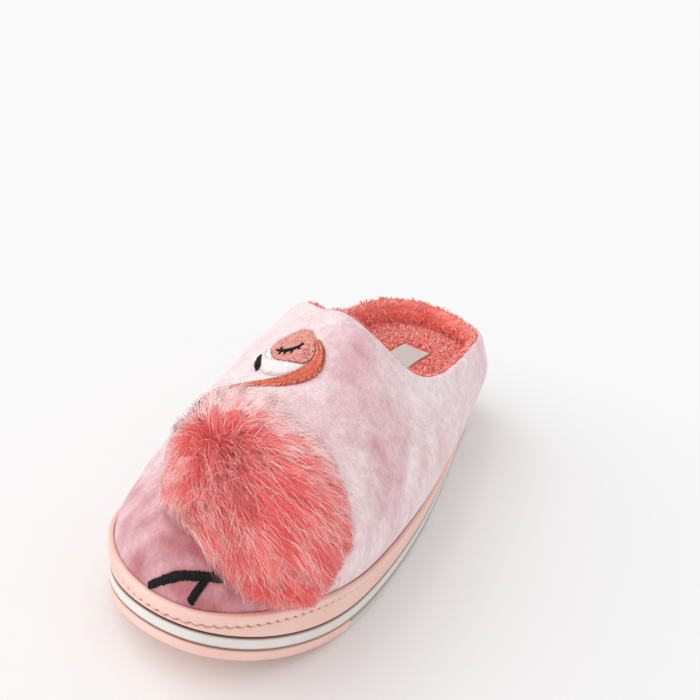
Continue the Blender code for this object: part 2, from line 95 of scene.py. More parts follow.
def soft_step(values: Numbers, low: float, high: float) -> Numbers:
    """A smooth rise from 0 at low to 1 at high.

    Args:
        values: Places to read it at.
        low: Where it starts.
        high: Where it ends.

    Returns:
        The rise at each place.
    """
    share = np.clip((values - low) / (high - low), 0.0, 1.0)
    return share * share * (3.0 - 2.0 * share)


def lump_noise(points: np.ndarray, size: float, seed: int) -> np.ndarray:
    """Smooth random lumps in space, the same on each run.

    Args:
        points: Places, one row each.
        size: Distance from lump to lump, in metres.
        seed: Which pattern.

    Returns:
        A value from -1 to 1 for each place.
    """
    scaled = points / size + 31.7 * seed
    cell = np.floor(scaled).astype(np.int64)
    share = scaled - cell
    share = share * share * (3.0 - 2.0 * share)
    total = np.zeros(len(points))
    for corner in product((0, 1), repeat=3):
        at = cell + np.array(corner)
        code = at[:, 0] * 374761393 + at[:, 1] * 668265263 + at[:, 2] * 974634777 + seed * 1013904223
        code = (code ^ (code >> 13)) * 1274126177
        value = ((code ^ (code >> 16)) & 0xFFFF) / 32767.5 - 1.0
        weight = np.prod(np.where(np.array(corner) == 1, share, 1.0 - share), axis=1)
        total += value * weight
    return total


def unit(vectors: np.ndarray) -> np.ndarray:
    """Vectors of length one along the last axis."""
    return vectors / np.maximum(np.linalg.norm(vectors, axis=-1, keepdims=True), 1e-12)


def full_turn(count: int) -> np.ndarray:
    """Shares of a full turn, one step apart, from 0 up to but not 1."""
    return np.arange(count) / count


# The last, whose sizes the source of the solids also has


@dataclass(frozen=True)
class Rib:
    """One fold line round the last, in shares of its sizes."""

    foot_along: float
    foot_across: float
    collar_along: float
    collar_across: float
    collar_rise: float
    belly_out: float
    belly_up: float
    crown_along: float
    crown_across: float
    crown_drop: float
    flare: float


RIBS = (
    Rib(0.000, 0.000, 0.047, 0.000, 0.00, 0.067, 0.175, -0.016, 0.000, 0.205, 0.000),
    Rib(0.047, 0.256, 0.086, 0.262, 0.00, 0.070, 0.175, -0.016, 0.044, 0.200, 0.000),
    Rib(0.186, 0.375, 0.194, 0.372, 0.10, 0.077, 0.175, -0.005, 0.071, 0.203, 0.000),
    Rib(0.421, 0.466, 0.343, 0.368, 0.13, 0.090, 0.235, 0.031, 0.093, 0.205, 0.000),
    Rib(0.681, 0.493, 0.475, 0.289, 0.39, 0.100, 0.320, 0.111, 0.181, 0.205, 0.005),
    Rib(0.887, 0.370, 0.535, 0.154, 0.81, 0.075, 0.377, 0.207, 0.205, 0.325, 0.005),
    Rib(1.000, 0.083, 0.544, -0.012, 1.00, 0.053, 0.377, 0.246, 0.025, 0.440, 0.000),
    Rib(0.943, -0.327, 0.514, -0.154, 0.89, 0.030, 0.310, 0.213, -0.132, 0.415, 0.000),
    Rib(0.708, -0.507, 0.438, -0.337, 0.67, 0.066, 0.256, 0.108, -0.172, 0.273, 0.000),
    Rib(0.443, -0.453, 0.346, -0.455, 0.34, 0.083, 0.213, 0.031, -0.099, 0.177, 0.000),
    Rib(0.205, -0.391, 0.209, -0.405, 0.03, 0.065, 0.173, -0.001, -0.055, 0.206, 0.000),
    Rib(0.051, -0.270, 0.082, -0.272, 0.01, 0.068, 0.175, -0.012, -0.035, 0.200, 0.000),
)


def closed_spline(knots: np.ndarray, values: np.ndarray, at: np.ndarray) -> np.ndarray:
    """Closed cubic spline through values at knots.

    Args:
        knots: Places of the values, and one full turn on at the end.
        values: One row for each knot but the last.
        at: Where to read the spline.

    Returns:
        One row for each place.
    """
    steps = np.diff(knots)
    count = len(steps)
    slopes = (np.roll(values, -1, axis=0) - values) / steps[:, None]
    matrix = np.zeros((count, count))
    for row in range(count):
        matrix[row, (row - 1) % count] += steps[row - 1]
        matrix[row, row] += 2.0 * (steps[row - 1] + steps[row])
        matrix[row, (row + 1) % count] += steps[row]
    bends = np.linalg.solve(matrix, 6.0 * (slopes - np.roll(slopes, 1, axis=0)))
    span = np.clip(np.searchsorted(knots, at, side="right") - 1, 0, count - 1)
    after = (span + 1) % count
    width = steps[span][:, None]
    ahead = (at - knots[span])[:, None] / width
    behind = 1.0 - ahead
    bend = (behind ** 3 - behind) * bends[span] + (ahead ** 3 - ahead) * bends[after]
    return behind * values[span] + ahead * values[after] + bend * width ** 2 / 6.0


@dataclass
class Last:
    """The form that upper and sole are built on, with the places its surfaces run through."""

    foot_length: float = 0.2500
    ball_width: float = 0.0885
    instep_rise: float = 0.0660
    heel_rise: float = 0.0280
    wall: float = 0.0050
    pad_thickness: float = 0.0048
    midsole_height: float = 0.0047
    rand_height: float = 0.0120
    rand_toe_height: float = 0.0041
    toe_spring: float = 0.0150
    spring_start: float = 0.745
    side_out: float = 0.0008
    gap: float = 0.0003
    shift: np.ndarray = field(default_factory=lambda: np.zeros(3))
    knots: np.ndarray = field(init=False)

    def __post_init__(self) -> None:
        """Place the ribs round the foot, and find the frame's shift in plan."""
        foot = np.array([(rib.foot_across * self.ball_width, self.to_y(rib.foot_along)) for rib in RIBS])
        lengths = np.linalg.norm(np.roll(foot, -1, axis=0) - foot, axis=1)
        knots = np.concatenate([[0.0], np.cumsum(lengths)])
        self.knots = knots / knots[-1]
        low, high = (np.array(corner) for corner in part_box("midsole"))
        around = full_turn(72)
        plan, normal = self.outline(around)
        side = plan + normal * (self.side_out + self.flare(around))[:, None]
        middle = (side.min(axis=0) + side.max(axis=0)) / 2.0
        self.shift = np.array([*((low + high)[:2] / 2.0 - middle), 0.0])

    def to_y(self, along: float) -> float:
        """Y of a share of the foot's length from the heel."""
        return (0.5 - along) * self.foot_length

    def read(self, around: np.ndarray, *names: str) -> np.ndarray:
        """Values of the ribs' fields round the foot.

        Args:
            around: Places round the foot, 0 at the heel, one turn to 1.
            names: The ribs' fields.

        Returns:
            One row for each place and one column for each field.
        """
        values = np.array([[getattr(rib, name) for name in names] for rib in RIBS])
        return closed_spline(self.knots, values, np.mod(around, 1.0))

    def outline(self, around: np.ndarray) -> tuple[np.ndarray, np.ndarray]:
        """The feather line in plan.

        Args:
            around: Places round the foot.

        Returns:
            Its points, and its normals out of the foot.
        """
        def place(at: np.ndarray) -> np.ndarray:
            """Plan places of the feather line."""
            shares = self.read(at, "foot_across", "foot_along")
            return np.column_stack([shares[:, 0] * self.ball_width, self.to_y(shares[:, 1])])

        step = 1e-4
        tangent = place(around + step) - place(around - step)
        return place(around), unit(np.column_stack([-tangent[:, 1], tangent[:, 0]]))

    def flare(self, around: np.ndarray) -> np.ndarray:
        """How much wider the sole is at the floor than at its top."""
        return self.read(around, "flare")[:, 0] * self.ball_width

    def spring(self, y: Numbers) -> Numbers:
        """Share of the toe spring at a place along the foot."""
        along = 0.5 - y / self.foot_length
        return np.clip((along - self.spring_start) / (1.0 - self.spring_start), 0.0, None) ** 2

    def floor(self, y: Numbers) -> Numbers:
        """Height of the outsole's underside."""
        return self.toe_spring * self.spring(y)

    def midsole_top(self, y: np.ndarray) -> np.ndarray:
        """Height where the white midsole ends."""
        return self.floor(y) + self.pad_thickness + self.midsole_height

    def feather(self, y: np.ndarray) -> np.ndarray:
        """Height of the line where the upper meets the sole."""
        toe_drop = (self.rand_height - self.rand_toe_height) * self.spring(y)
        return self.midsole_top(y) + self.rand_height - toe_drop

    def surface(self, around: np.ndarray, up: np.ndarray) -> np.ndarray:
        """Points of the upper's outer face.

        Args:
            around: Places round the foot.
            up: Shares up the wall, 0 at the foot and 1 at the collar.

        Returns:
            One point for each pair.
        """
        foot, normal = self.outline(around)
        shares = self.read(around, "belly_out", "belly_up", "collar_along", "collar_across", "collar_rise",
                           "crown_along", "crown_across", "crown_drop")
        belly_out, belly_up, along, across, rise, crown_along, crown_across, crown_drop = shares.T
        start = np.column_stack([foot, self.feather(foot[:, 1])])
        belly = start + np.column_stack([normal * (belly_out * self.ball_width)[:, None],
                                         belly_up * self.instep_rise])
        collar_y = self.to_y(along)
        collar_z = self.feather(collar_y) + self.heel_rise + (self.instep_rise - self.heel_rise) * rise
        collar = np.column_stack([across * self.ball_width, collar_y, collar_z])
        crown = collar + np.column_stack([crown_across * self.ball_width, -crown_along * self.foot_length,
                                          -crown_drop * self.instep_rise])
        high = np.asarray(up)[:, None]
        low = 1.0 - high
        middle = 3.0 * low ** 2 * high * belly + 3.0 * low * high ** 2 * crown
        return low ** 3 * start + middle + high ** 3 * collar

    def wall_frame(self, around: np.ndarray, up: Numbers) -> tuple[np.ndarray, np.ndarray, np.ndarray]:
        """The upper's outer face with its directions.

        Args:
            around: Places round the foot.
            up: Shares up the wall, or one share for all.

        Returns:
            Points, outward normals, and directions towards the collar.
        """
        step = 1e-3
        up = np.broadcast_to(up, len(around))
        ahead = self.surface(around + step, up) - self.surface(around - step, up)
        rise = unit(self.surface(around, up + step) - self.surface(around, up - step))
        return self.surface(around, up), unit(np.cross(rise, ahead)), rise

    def at_height(self, around: np.ndarray, height: np.ndarray, depth: float = 0.0) -> np.ndarray:
        """Plan places where the wall first reaches a height.

        Args:
            around: Places round the foot.
            height: A height for each place.
            depth: How far inside the outer face.

        Returns:
            Plan places, one row each.
        """
        rows = []
        for up in np.linspace(0.0, 0.9, 46):
            points, normal, _ = self.wall_frame(around, up)
            rows.append(points - normal * depth)
        stack = np.array(rows)
        result = np.empty((len(around), 2))
        for column in range(len(around)):
            heights = np.maximum.accumulate(stack[:, column, 2])
            for axis in range(2):
                result[column, axis] = np.interp(height[column], heights, stack[:, column, axis])
        return result


# Meshes


class Ends(Enum):
    """How a loft through rings ends."""

    CAPPED = "capped"
    LOOPED = "looped"


def grid_corners(mesh: bmesh.types.BMesh, columns: int, rows: int) -> tuple[list, np.ndarray]:
    """Add a flat grid to a mesh and write its shares as the UV map.

    Args:
        mesh: The mesh that takes it.
        columns: Faces across.
        rows: Faces up.

    Returns:
        The grid's corners, and the column and row number of each.
    """
    made = bmesh.ops.create_grid(mesh, x_segments=columns, y_segments=rows, size=0.5)["verts"]
    shares = np.array([corner.co[:2] for corner in made]) + 0.5
    numbers = np.rint(shares * (columns, rows)).astype(int)
    layer = mesh.loops.layers.uv.verify()
    for surface in {surface for corner in made for surface in corner.link_faces}:
        for turn in surface.loops:
            turn[layer].uv = (turn.vert.co.x + 0.5, turn.vert.co.y + 0.5)
    return made, numbers


def move_corners(corners: Sequence, points: np.ndarray) -> None:
    """Put each corner at its point."""
    for corner, point in zip(corners, points):
        corner.co = point


def lofted(rings: np.ndarray, ends: Ends, rungs: int = 1, tones: Sequence[float] = ()) -> bmesh.types.BMesh:
    """A body through rings of points, from the lowest up.

    Args:
        rings: Rings, points round each ring, and three coordinates.
        ends: Whether it is capped or closed on itself.
        rungs: Faces across each cap.
        tones: A depth of shade for each ring, kept as the attribute "tone".

    Returns:
        The mesh, its faces outwards.
    """
    mesh = bmesh.new()
    if ends is Ends.LOOPED:
        rings = np.concatenate([rings, rings[:1]])
    around = rings.shape[1]
    layer = mesh.verts.layers.float.new("tone") if len(tones) else None
    corners, numbers = grid_corners(mesh, around, len(rings) - 1)
    move_corners(corners, rings[numbers[:, 1], numbers[:, 0] % around])
    if layer:
        for corner, row in zip(corners, numbers[:, 1]):
            corner[layer] = tones[row]
    if ends is Ends.CAPPED:
        for end in (0, -1):
            corners, numbers = grid_corners(mesh, around // 2, rungs)
            share = (numbers[:, 1] / rungs)[:, None]
            near = rings[end][numbers[:, 0]]
            far = rings[end][-numbers[:, 0] % around]
            move_corners(corners, near * (1.0 - share) + far * share)
            for corner in corners if layer else ():
                corner[layer] = tones[end]
    bmesh.ops.remove_doubles(mesh, verts=mesh.verts[:], dist=TINY)
    bmesh.ops.recalc_face_normals(mesh, faces=mesh.faces[:])
    return mesh


def new_object(name: str, data: bpy.types.ID | bmesh.types.BMesh) -> bpy.types.Object:
    """Put a new object in the scene.

    Args:
        name: Its name.
        data: Its mesh, lamp or camera, or a bmesh, which is freed.

    Returns:
        The object.
    """
    if isinstance(data, bmesh.types.BMesh):
        mesh, data = data, bpy.data.meshes.new(name)
        mesh.to_mesh(data)
        mesh.free()
    made = bpy.data.objects.new(name, data)
    bpy.context.scene.collection.objects.link(made)
    return made


def add_piece(name: str, data: bpy.types.Mesh, finish: "Finish",
              stands_for: Sequence[str] = ()) -> bpy.types.Object:
    """Put a mesh in the scene as a piece of the slipper.

    Args:
        name: The piece's name.
        data: Its mesh, in the frame's place.
        finish: Its finish.
        stands_for: CAD nodes that it replaces.

    Returns:
        The new object.
    """
    data.name = name
    data.materials.append(finish.material())
    piece = new_object(name, data)
    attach(piece, BODY)
    if stands_for:
        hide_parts(*stands_for)
    data.calc_loop_triangles()
    LOG.info("%s: %d triangles", name, len(data.loop_triangles))
    return piece


def mesh_data(mesh: bmesh.types.BMesh, shift: np.ndarray, sharp: float = 180.0) -> bpy.types.Mesh:
    """The finished mesh of a bmesh, moved into the frame.

    Args:
        mesh: The bmesh, which is freed.
        shift: The frame's shift.
        sharp: Angle in degrees past which an edge is shaded sharp.

    Returns:
        Mesh data, smooth-shaded.
    """
    bmesh.ops.translate(mesh, verts=mesh.verts[:], vec=Vector(shift))
    data = bpy.data.meshes.new("mesh")
    mesh.to_mesh(data)
    mesh.free()
    data.shade_smooth()
    if sharp < 180.0:
        data.set_sharp_from_angle(angle=math.radians(sharp))
    return data


def strand_data(paths: np.ndarray, widths: np.ndarray, tints: np.ndarray, shift: np.ndarray,
                sides: int = 3) -> bpy.types.Mesh:
    """Many tapering strands as one joined mesh, each closed at its root and ending in a point.

    Args:
        paths: Strands, steps along each, and three coordinates.
        widths: Half width of each strand at each step.
        tints: A number from 0 to 1 for each strand, kept as U, with V from root to tip.
        shift: The frame's shift.
        sides: Sides of each strand.

    Returns:
        Mesh data, smooth-shaded.
    """
    count, steps, _ = paths.shape
    tangents = unit(np.gradient(paths, axis=1))
    slant = np.where(np.abs(tangents[..., :1]) < 0.8, np.array([1.0, 0.0, 0.0]), np.array([0.0, 0.0, 1.0]))
    across = unit(np.cross(tangents, slant))
    over = np.cross(tangents, across)
    turns = 2.0 * np.pi * np.arange(sides) / sides
    ring = (np.cos(turns)[:, None] * across[:, :-1, None] + np.sin(turns)[:, None] * over[:, :-1, None])
    body = paths[:, :-1, None] + ring * widths[:, :-1, None, None]
    points = np.concatenate([body.reshape(count, -1, 3), paths[:, -1:]], axis=1)
    size = points.shape[1]
    faces = []
    for step in range(steps - 2):
        for side in range(sides):
            here = step * sides + side
            ahead = step * sides + (side + 1) % sides
            faces += [(here, ahead, ahead + sides), (here, ahead + sides, here + sides)]
    top = (steps - 2) * sides
    faces += [(top + side, top + (side + 1) % sides, size - 1) for side in range(sides)]
    faces += [(0, side + 1, side) for side in range(1, sides - 1)]
    corners = (np.array(faces)[None] + np.arange(count)[:, None, None] * size).reshape(-1, 3)
    data = bpy.data.meshes.new("strands")
    data.from_pydata((points.reshape(-1, 3) + shift).tolist(), [], corners.tolist())
    along = np.append(np.repeat(np.arange(steps - 1), sides), steps - 1) / (steps - 1)
    shares = np.stack([np.repeat(tints, size), np.tile(along, count)], axis=1)
    layer = data.uv_layers.new(name="UVMap")
    layer.data.foreach_set("uv", shares[corners.reshape(-1)].astype(np.float32).reshape(-1))
    data.shade_smooth()
    return data


# Finishes


class Sketch:
    """Adds nodes to a tree and joins them."""

    def __init__(self, tree: bpy.types.NodeTree) -> None:
        """Keep the tree that takes the nodes."""
        self.tree = tree

    def node(self, kind: str, inputs: dict | None = None, **settings: object) -> bpy.types.Node:
        """Add one node.

        Args:
            kind: Its type, without the ShaderNode at the start.
            inputs: Sockets by name or number, each with a value or another node's output.
            settings: The node's own settings.

        Returns:
            The node.
        """
        made = self.tree.nodes.new("ShaderNode" + kind)
        for name, value in settings.items():
            setattr(made, name, value)
        self.fill(made.inputs, inputs or {})
        return made

    def fill(self, sockets: bpy.types.NodeInputs, values: dict) -> None:
        """Set a node's sockets, or join them to other nodes.

        Args:
            sockets: The node's inputs.
            values: Sockets by name or number, each with a value or another node's output.
        """
        for name, value in values.items():
            if isinstance(value, bpy.types.NodeSocket):
                self.tree.links.new(value, sockets[name])
            else:
                sockets[name].default_value = value

    def feed(self, values: dict) -> None:
        """Set or join sockets of the material's own shader."""
        self.fill(self.tree.nodes["Principled BSDF"].inputs, values)

    def grain(self, place: bpy.types.NodeSocket, fine: float, slow: float) -> bpy.types.NodeOutputs:
        """Put the shared grain in the tree.

        Args:
            place: Where it is read.
            fine: Scale of its grain.
            slow: Scale of its blotches.

        Returns:
            Its outputs, Height and Blotch.
        """
        made = self.tree.nodes.new("ShaderNodeGroup")
        made.node_tree = grain_group()
        self.fill(made.inputs, {"Place": place, "Grain Scale": fine, "Blotch Scale": slow})
        return made.outputs

    def spread(self, share: object, low: float, high: float) -> bpy.types.NodeSocket:
        """A share from 0 to 1 spread from low to high."""
        return self.node("MapRange", {"Value": share, "To Min": low, "To Max": high}).outputs["Result"]

    def bumps(self, height: bpy.types.NodeSocket, strength: float, depth: float) -> bpy.types.NodeSocket:
        """The normal of a surface with bumps."""
        made = self.node("Bump", {"Strength": strength, "Distance": depth, "Height": height})
        return made.outputs["Normal"]

    def attribute(self, name: str) -> bpy.types.NodeSocket:
        """A number that the mesh keeps for each corner."""
        return self.node("Attribute", attribute_name=name).outputs["Fac"]

    def ramp(self, share: bpy.types.NodeSocket,
             stops: Sequence[tuple[float, Colour]]) -> bpy.types.NodeSocket:
        """A ramp of colours.

        Args:
            share: What it reads.
            stops: Places and their colours, lowest first.

        Returns:
            The colour's socket.
        """
        made = self.node("ValToRGB", {"Fac": share})
        elements = made.color_ramp.elements
        while len(elements) < len(stops):
            elements.new(0.5)
        for element, (place, colour) in zip(elements, stops):
            element.position = place
            element.color = (*colour, 1.0)
        return made.outputs["Color"]

    def maths(self, operation: str, first: object, second: object = 0.5) -> bpy.types.NodeSocket:
        """One step of arithmetic on two values or sockets."""
        return self.node("Math", {0: first, 1: second}, operation=operation).outputs[0]

    def blend(self, share: object, first: object, second: object, kind: str = "MIX") -> bpy.types.NodeSocket:
        """Two colours mixed.

        Args:
            share: How much of the second.
            first: The first colour.
            second: The second colour.
            kind: Blender's name of the way they mix.

        Returns:
            The mixed colour's socket.
        """
        made = self.node("Mix", data_type="RGBA", blend_type=kind)
        for socket, value in ((made.inputs[0], share), (made.inputs[6], first), (made.inputs[7], second)):
            if isinstance(value, bpy.types.NodeSocket):
                self.tree.links.new(value, socket)
            elif isinstance(value, tuple):
                socket.default_value = (*value, 1.0)
            else:
                socket.default_value = value
        return made.outputs[2]

    def noise(self, place: bpy.types.NodeSocket, scale: object, detail: float = 2.0) -> bpy.types.NodeSocket:
        """A noise's value at a place."""
        made = self.node("TexNoise", {"Vector": place, "Scale": scale, "Detail": detail})
        return made.outputs["Fac"]


def grain_group() -> bpy.types.NodeTree:
    """Fine grain that rubber, velour and thread share: a height for bump and a slow blotch mask.

    Returns:
        The group, made once.
    """
    found = bpy.data.node_groups.get("surface grain")
    if found:
        return found
    tree = bpy.data.node_groups.new("surface grain", "ShaderNodeTree")
    tree.interface.new_socket("Place", in_out="INPUT", socket_type="NodeSocketVector")
    for name, way in (("Grain Scale", "INPUT"), ("Blotch Scale", "INPUT"), ("Height", "OUTPUT"),
                      ("Blotch", "OUTPUT")):
        tree.interface.new_socket(name, in_out=way, socket_type="NodeSocketFloat")
    sketch = Sketch(tree)
    inner = tree.nodes.new("NodeGroupInput").outputs
    outer = tree.nodes.new("NodeGroupOutput").inputs
    fine = sketch.noise(inner["Place"], inner["Grain Scale"], 3.0)
    coarse = sketch.noise(inner["Place"], sketch.maths("MULTIPLY", inner["Grain Scale"], 0.31), 2.0)
    tree.links.new(sketch.maths("MULTIPLY", sketch.maths("ADD", fine, coarse), 0.5), outer["Height"])
    slow = sketch.noise(inner["Place"], inner["Blotch Scale"], 4.0)
    spread = sketch.node("MapRange", {"Value": slow, "From Min": 0.32, "From Max": 0.68})
    tree.links.new(spread.outputs["Result"], outer["Blotch"])
    return tree


@dataclass(frozen=True)
class Finish:
    """A finish that becomes a material the first time that a piece asks for it."""

    name: str

    def material(self) -> bpy.types.Material:
        """The finish as a material, made once."""
        made = bpy.data.materials.get(self.name)
        if not made:
            made = bpy.data.materials.new(self.name)
            made.use_nodes = True
            self.dress(Sketch(made.node_tree))
        return made

    def dress(self, sketch: Sketch) -> None:
        """Give the material its nodes."""


@dataclass(frozen=True)
class Cloth(Finish):
    """A pile or thread finish: colours by blotch and by a mask of the mesh, with a pile's bump and sheen.

    Its glow is painted light, its own colour emitted for the light that a pile lets through.
    """

    colours: tuple[Colour, ...]
    blotch_scale: float
    grain_scale: float
    bump: float
    depth: float
    roughness: float = 0.85
    sheen: float = 0.4
    sheen_roughness: float = 0.4
    sheen_tint: Colour = (1.0, 1.0, 1.0)
    blotch_share: float = 1.0
    fleck: float = 0.25
    mask: str = ""
    specular: float = 0.2
    stretch: tuple[float, float, float] = (1.0, 1.0, 1.0)
    glow: float = 0.0

    def dress(self, sketch: Sketch) -> None:
        """Give the material its nodes."""
        place = sketch.node("VectorMath", {0: sketch.node("TexCoord").outputs["Object"], 1: self.stretch},
                            operation="MULTIPLY").outputs["Vector"]
        grain = sketch.grain(place, self.grain_scale, self.blotch_scale)
        share = sketch.maths("MULTIPLY", grain["Blotch"], self.blotch_share)
        if self.mask:
            share = sketch.maths("ADD", share, sketch.attribute(self.mask))
        stops = [(index / (len(self.colours) - 1), colour) for index, colour in enumerate(self.colours)]
        light = sketch.node("MapRange", {"Value": grain["Height"], "From Min": 0.3, "From Max": 0.7,
                                         "To Min": 1.0 - self.fleck, "To Max": 1.0 + 0.4 * self.fleck})
        shaded = sketch.blend(1.0, sketch.ramp(share, stops), light.outputs["Result"], "MULTIPLY")
        # painted glow: the colour is also emitted at the glow's strength
        sketch.feed({"Base Color": shaded, "Emission Color": shaded, "Emission Strength": self.glow,
                     "Normal": sketch.bumps(grain["Height"], self.bump, self.depth),
                     "Roughness": self.roughness, "Specular IOR Level": self.specular,
                     "Sheen Weight": self.sheen, "Sheen Roughness": self.sheen_roughness,
                     "Sheen Tint": (*self.sheen_tint, 1.0)})


@dataclass(frozen=True)
class Strands(Finish):
    """A finish for hair or curls, coloured from root to tip, with each strand's own tint.

    Its dark root is partly painted shade; its glow is painted light, for the light a strand lets through.
    """

    stops: tuple[tuple[float, Colour], ...]
    dark: Colour
    dark_share: float
    roughness: float
    sheen: float
    sheen_tint: Colour
    glow: float

    def dress(self, sketch: Sketch) -> None:
        """Give the material its nodes: U of a strand darkens it, V runs from its root to its tip."""
        parts = sketch.node("SeparateXYZ", {0: sketch.node("TexCoord").outputs["UV"]}).outputs
        tint, along = parts["X"], parts["Y"]
        reach = sketch.maths("SUBTRACT", 0.70 + 0.8 * self.dark_share,
                             sketch.maths("MULTIPLY", tint, 1.6 * self.dark_share))
        # low U makes a strand paler all along: on the fur, painted highlight on the lit side
        pale = sketch.maths("MULTIPLY", sketch.maths("SUBTRACT", 0.5, tint), 1.5 * self.dark_share)
        place = sketch.maths("ADD", sketch.maths("MULTIPLY", along, reach),
                             sketch.maths("MAXIMUM", pale, 0.0))
        # the dark colour is mixed in most at the root: partly painted shade
        root = sketch.maths("SUBTRACT", 1.0, sketch.maths("MULTIPLY", along, 0.7))
        share = sketch.maths("MULTIPLY", sketch.maths("MULTIPLY", tint, self.dark_share), root)
        mixed = sketch.blend(share, sketch.ramp(place, self.stops), self.dark)
        # painted glow: the colour is also emitted at the glow's strength
        sketch.feed({"Base Color": mixed, "Emission Color": mixed, "Emission Strength": self.glow,
                     "Roughness": sketch.spread(tint, self.roughness - 0.08, self.roughness + 0.12),
                     "Specular IOR Level": 0.1, "Sheen Weight": self.sheen, "Sheen Roughness": 0.5,
                     "Sheen Tint": (*self.sheen_tint, 1.0)})


@dataclass(frozen=True)
class Rubber(Finish):
    """A matt moulded rubber with a fine grain, slow changes of tone, and painted shade in its grooves."""

    colour: Colour
    other: Colour
    painted_groove_shade: Colour
    roughness: float = 0.5
    grain_scale: float = 2600.0
    blotch_scale: float = 45.0
    bump: float = 0.12
    depth: float = 0.0002
    coat: float = 0.08

    def dress(self, sketch: Sketch) -> None:
        """Give the material its nodes."""
        grain = sketch.grain(sketch.node("TexCoord").outputs["Object"], self.grain_scale, self.blotch_scale)
        colour = sketch.blend(grain["Blotch"], self.colour, self.other)
        # painted shade: the tone attribute mixes in the dark colour in grooves, in seams and under the lip
        colour = sketch.blend(sketch.attribute("tone"), colour, self.painted_groove_shade)
        rough = sketch.spread(grain["Blotch"], self.roughness - 0.05, self.roughness + 0.08)
        sketch.feed({"Base Color": colour, "Normal": sketch.bumps(grain["Height"], self.bump, self.depth),
                     "Roughness": rough, "Coat Weight": self.coat, "Coat Roughness": 0.4})


@dataclass(frozen=True)
class Tape(Finish):
    """Woven tape, its warp and weft drawn on the label's own UV map."""

    dull: Colour
    bright: Colour
    warps: int = 34
    wefts: int = 90

    def dress(self, sketch: Sketch) -> None:
        """Give the material its nodes."""
        parts = sketch.node("SeparateXYZ", {0: sketch.node("TexCoord").outputs["UV"]}).outputs
        warp, weft = (sketch.maths("SINE", sketch.maths("MULTIPLY", parts[axis], 2.0 * math.pi * count))
                      for axis, count in (("X", self.warps), ("Y", self.wefts)))
        height = sketch.maths("MULTIPLY", warp, weft)
        tone = sketch.node("MapRange", {"Value": height, "From Min": -1.0, "From Max": 1.0}).outputs["Result"]
        sketch.feed({"Base Color": sketch.blend(tone, self.dull, self.bright),
                     "Normal": sketch.bumps(height, 0.4, 0.0002), "Roughness": 0.7, "Sheen Weight": 0.2})


@dataclass(frozen=True)
class Matt(Finish):
    """One even matt tone, for the floor."""

    tone: float

    def dress(self, sketch: Sketch) -> None:
        """Give the material its nodes."""
        sketch.feed({"Base Color": (self.tone, self.tone, self.tone, 1.0), "Roughness": 0.9,
                     "Specular IOR Level": 0.0})


@dataclass(frozen=True)
class Thread(Cloth):
    """Embroidery thread."""

    blotch_scale: float = 500.0
    grain_scale: float = 2500.0
    bump: float = 0.4
    depth: float = 0.0003
    sheen: float = 0.2


# The velour's mask ramps from near-white to mauve: pile blotches, painted shade and painted highlight.
VELOUR = Cloth("crushed velour", (shade(254, 244, 245), shade(248, 224, 227), shade(232, 186, 192),
                                  shade(192, 120, 128)),
               blotch_scale=46.0, grain_scale=1250.0, bump=0.35, depth=0.0005, sheen=0.4,
               sheen_tint=shade(255, 240, 242), blotch_share=0.23, fleck=0.25, mask="nap_and_painted_light",
               stretch=(1.0, 1.0, 0.35))
# The glow set on the fleece, curls, undercoat, fur and white thread is painted light.
FLEECE = Cloth("curly fleece ground", (shade(255, 152, 140), shade(238, 118, 108)),
               blotch_scale=120.0, grain_scale=900.0, bump=0.8, depth=0.0010, sheen=0.1, fleck=0.35,
               specular=0.1, glow=0.16)
CURLS = Strands("fleece curls", ((0.0, shade(246, 118, 108)), (0.5, shade(255, 166, 154)),
                                 (1.0, shade(255, 214, 206))),
                dark=shade(236, 104, 95), dark_share=0.45, roughness=0.8, sheen=0.6,
                sheen_tint=shade(255, 190, 180), glow=0.10)
UNDERCOAT = Cloth("fur undercoat", (shade(255, 160, 151), shade(250, 112, 103)),
                  blotch_scale=260.0, grain_scale=900.0, bump=1.0, depth=0.0012, sheen=0.8,
                  sheen_tint=shade(255, 170, 160), fleck=0.30, specular=0.0, glow=0.15)
FUR = Strands("long fur", ((0.0, shade(236, 84, 82)), (0.12, shade(248, 110, 106)),
                           (0.32, shade(255, 150, 146)), (0.60, shade(255, 184, 180)),
                           (1.0, shade(255, 234, 232))),
              dark=shade(212, 74, 76), dark_share=0.68, roughness=0.6, sheen=1.0,
              sheen_tint=shade(255, 186, 184), glow=0.21)
# Each rubber's third colour is painted shade for its grooves and seams.
PINK_RUBBER = Rubber("salmon rubber", shade(250, 212, 200), shade(245, 201, 187), painted_groove_shade=shade(164, 100, 86))
WHITE_RUBBER = Rubber("off-white rubber", shade(238, 234, 229), shade(229, 224, 218), painted_groove_shade=shade(132, 94, 84),
                      roughness=0.45)
TAPE = Tape("off-white woven tape", dull=shade(206, 201, 194), bright=shade(228, 224, 218))
BLACK_THREAD = Thread("black satin thread", (shade(16, 14, 17), shade(30, 27, 31)), blotch_scale=300.0,
                      grain_scale=3000.0, bump=0.3, depth=0.0002, roughness=0.55, sheen=0.0, specular=0.25)
WHITE_THREAD = Thread("white satin thread", (shade(255, 248, 246), shade(246, 234, 232)), blotch_scale=300.0,
                      grain_scale=3000.0, bump=0.3, depth=0.0002, roughness=0.45, specular=0.4, glow=0.05)
CORAL_THREAD = Thread("coral thread", (shade(250, 156, 128), shade(238, 122, 96)),
                      roughness=0.55, specular=0.3)
CORAL_BED = Thread("coral bed stitches", (shade(240, 132, 106), shade(222, 100, 78)),
                   roughness=0.6, sheen=0.1)
TOWELLING = Thread("coral towelling loops", (shade(255, 198, 184), shade(248, 152, 136)), roughness=0.8)
PALE_FLOOR = Matt("pale floor", 0.93)


# Upper


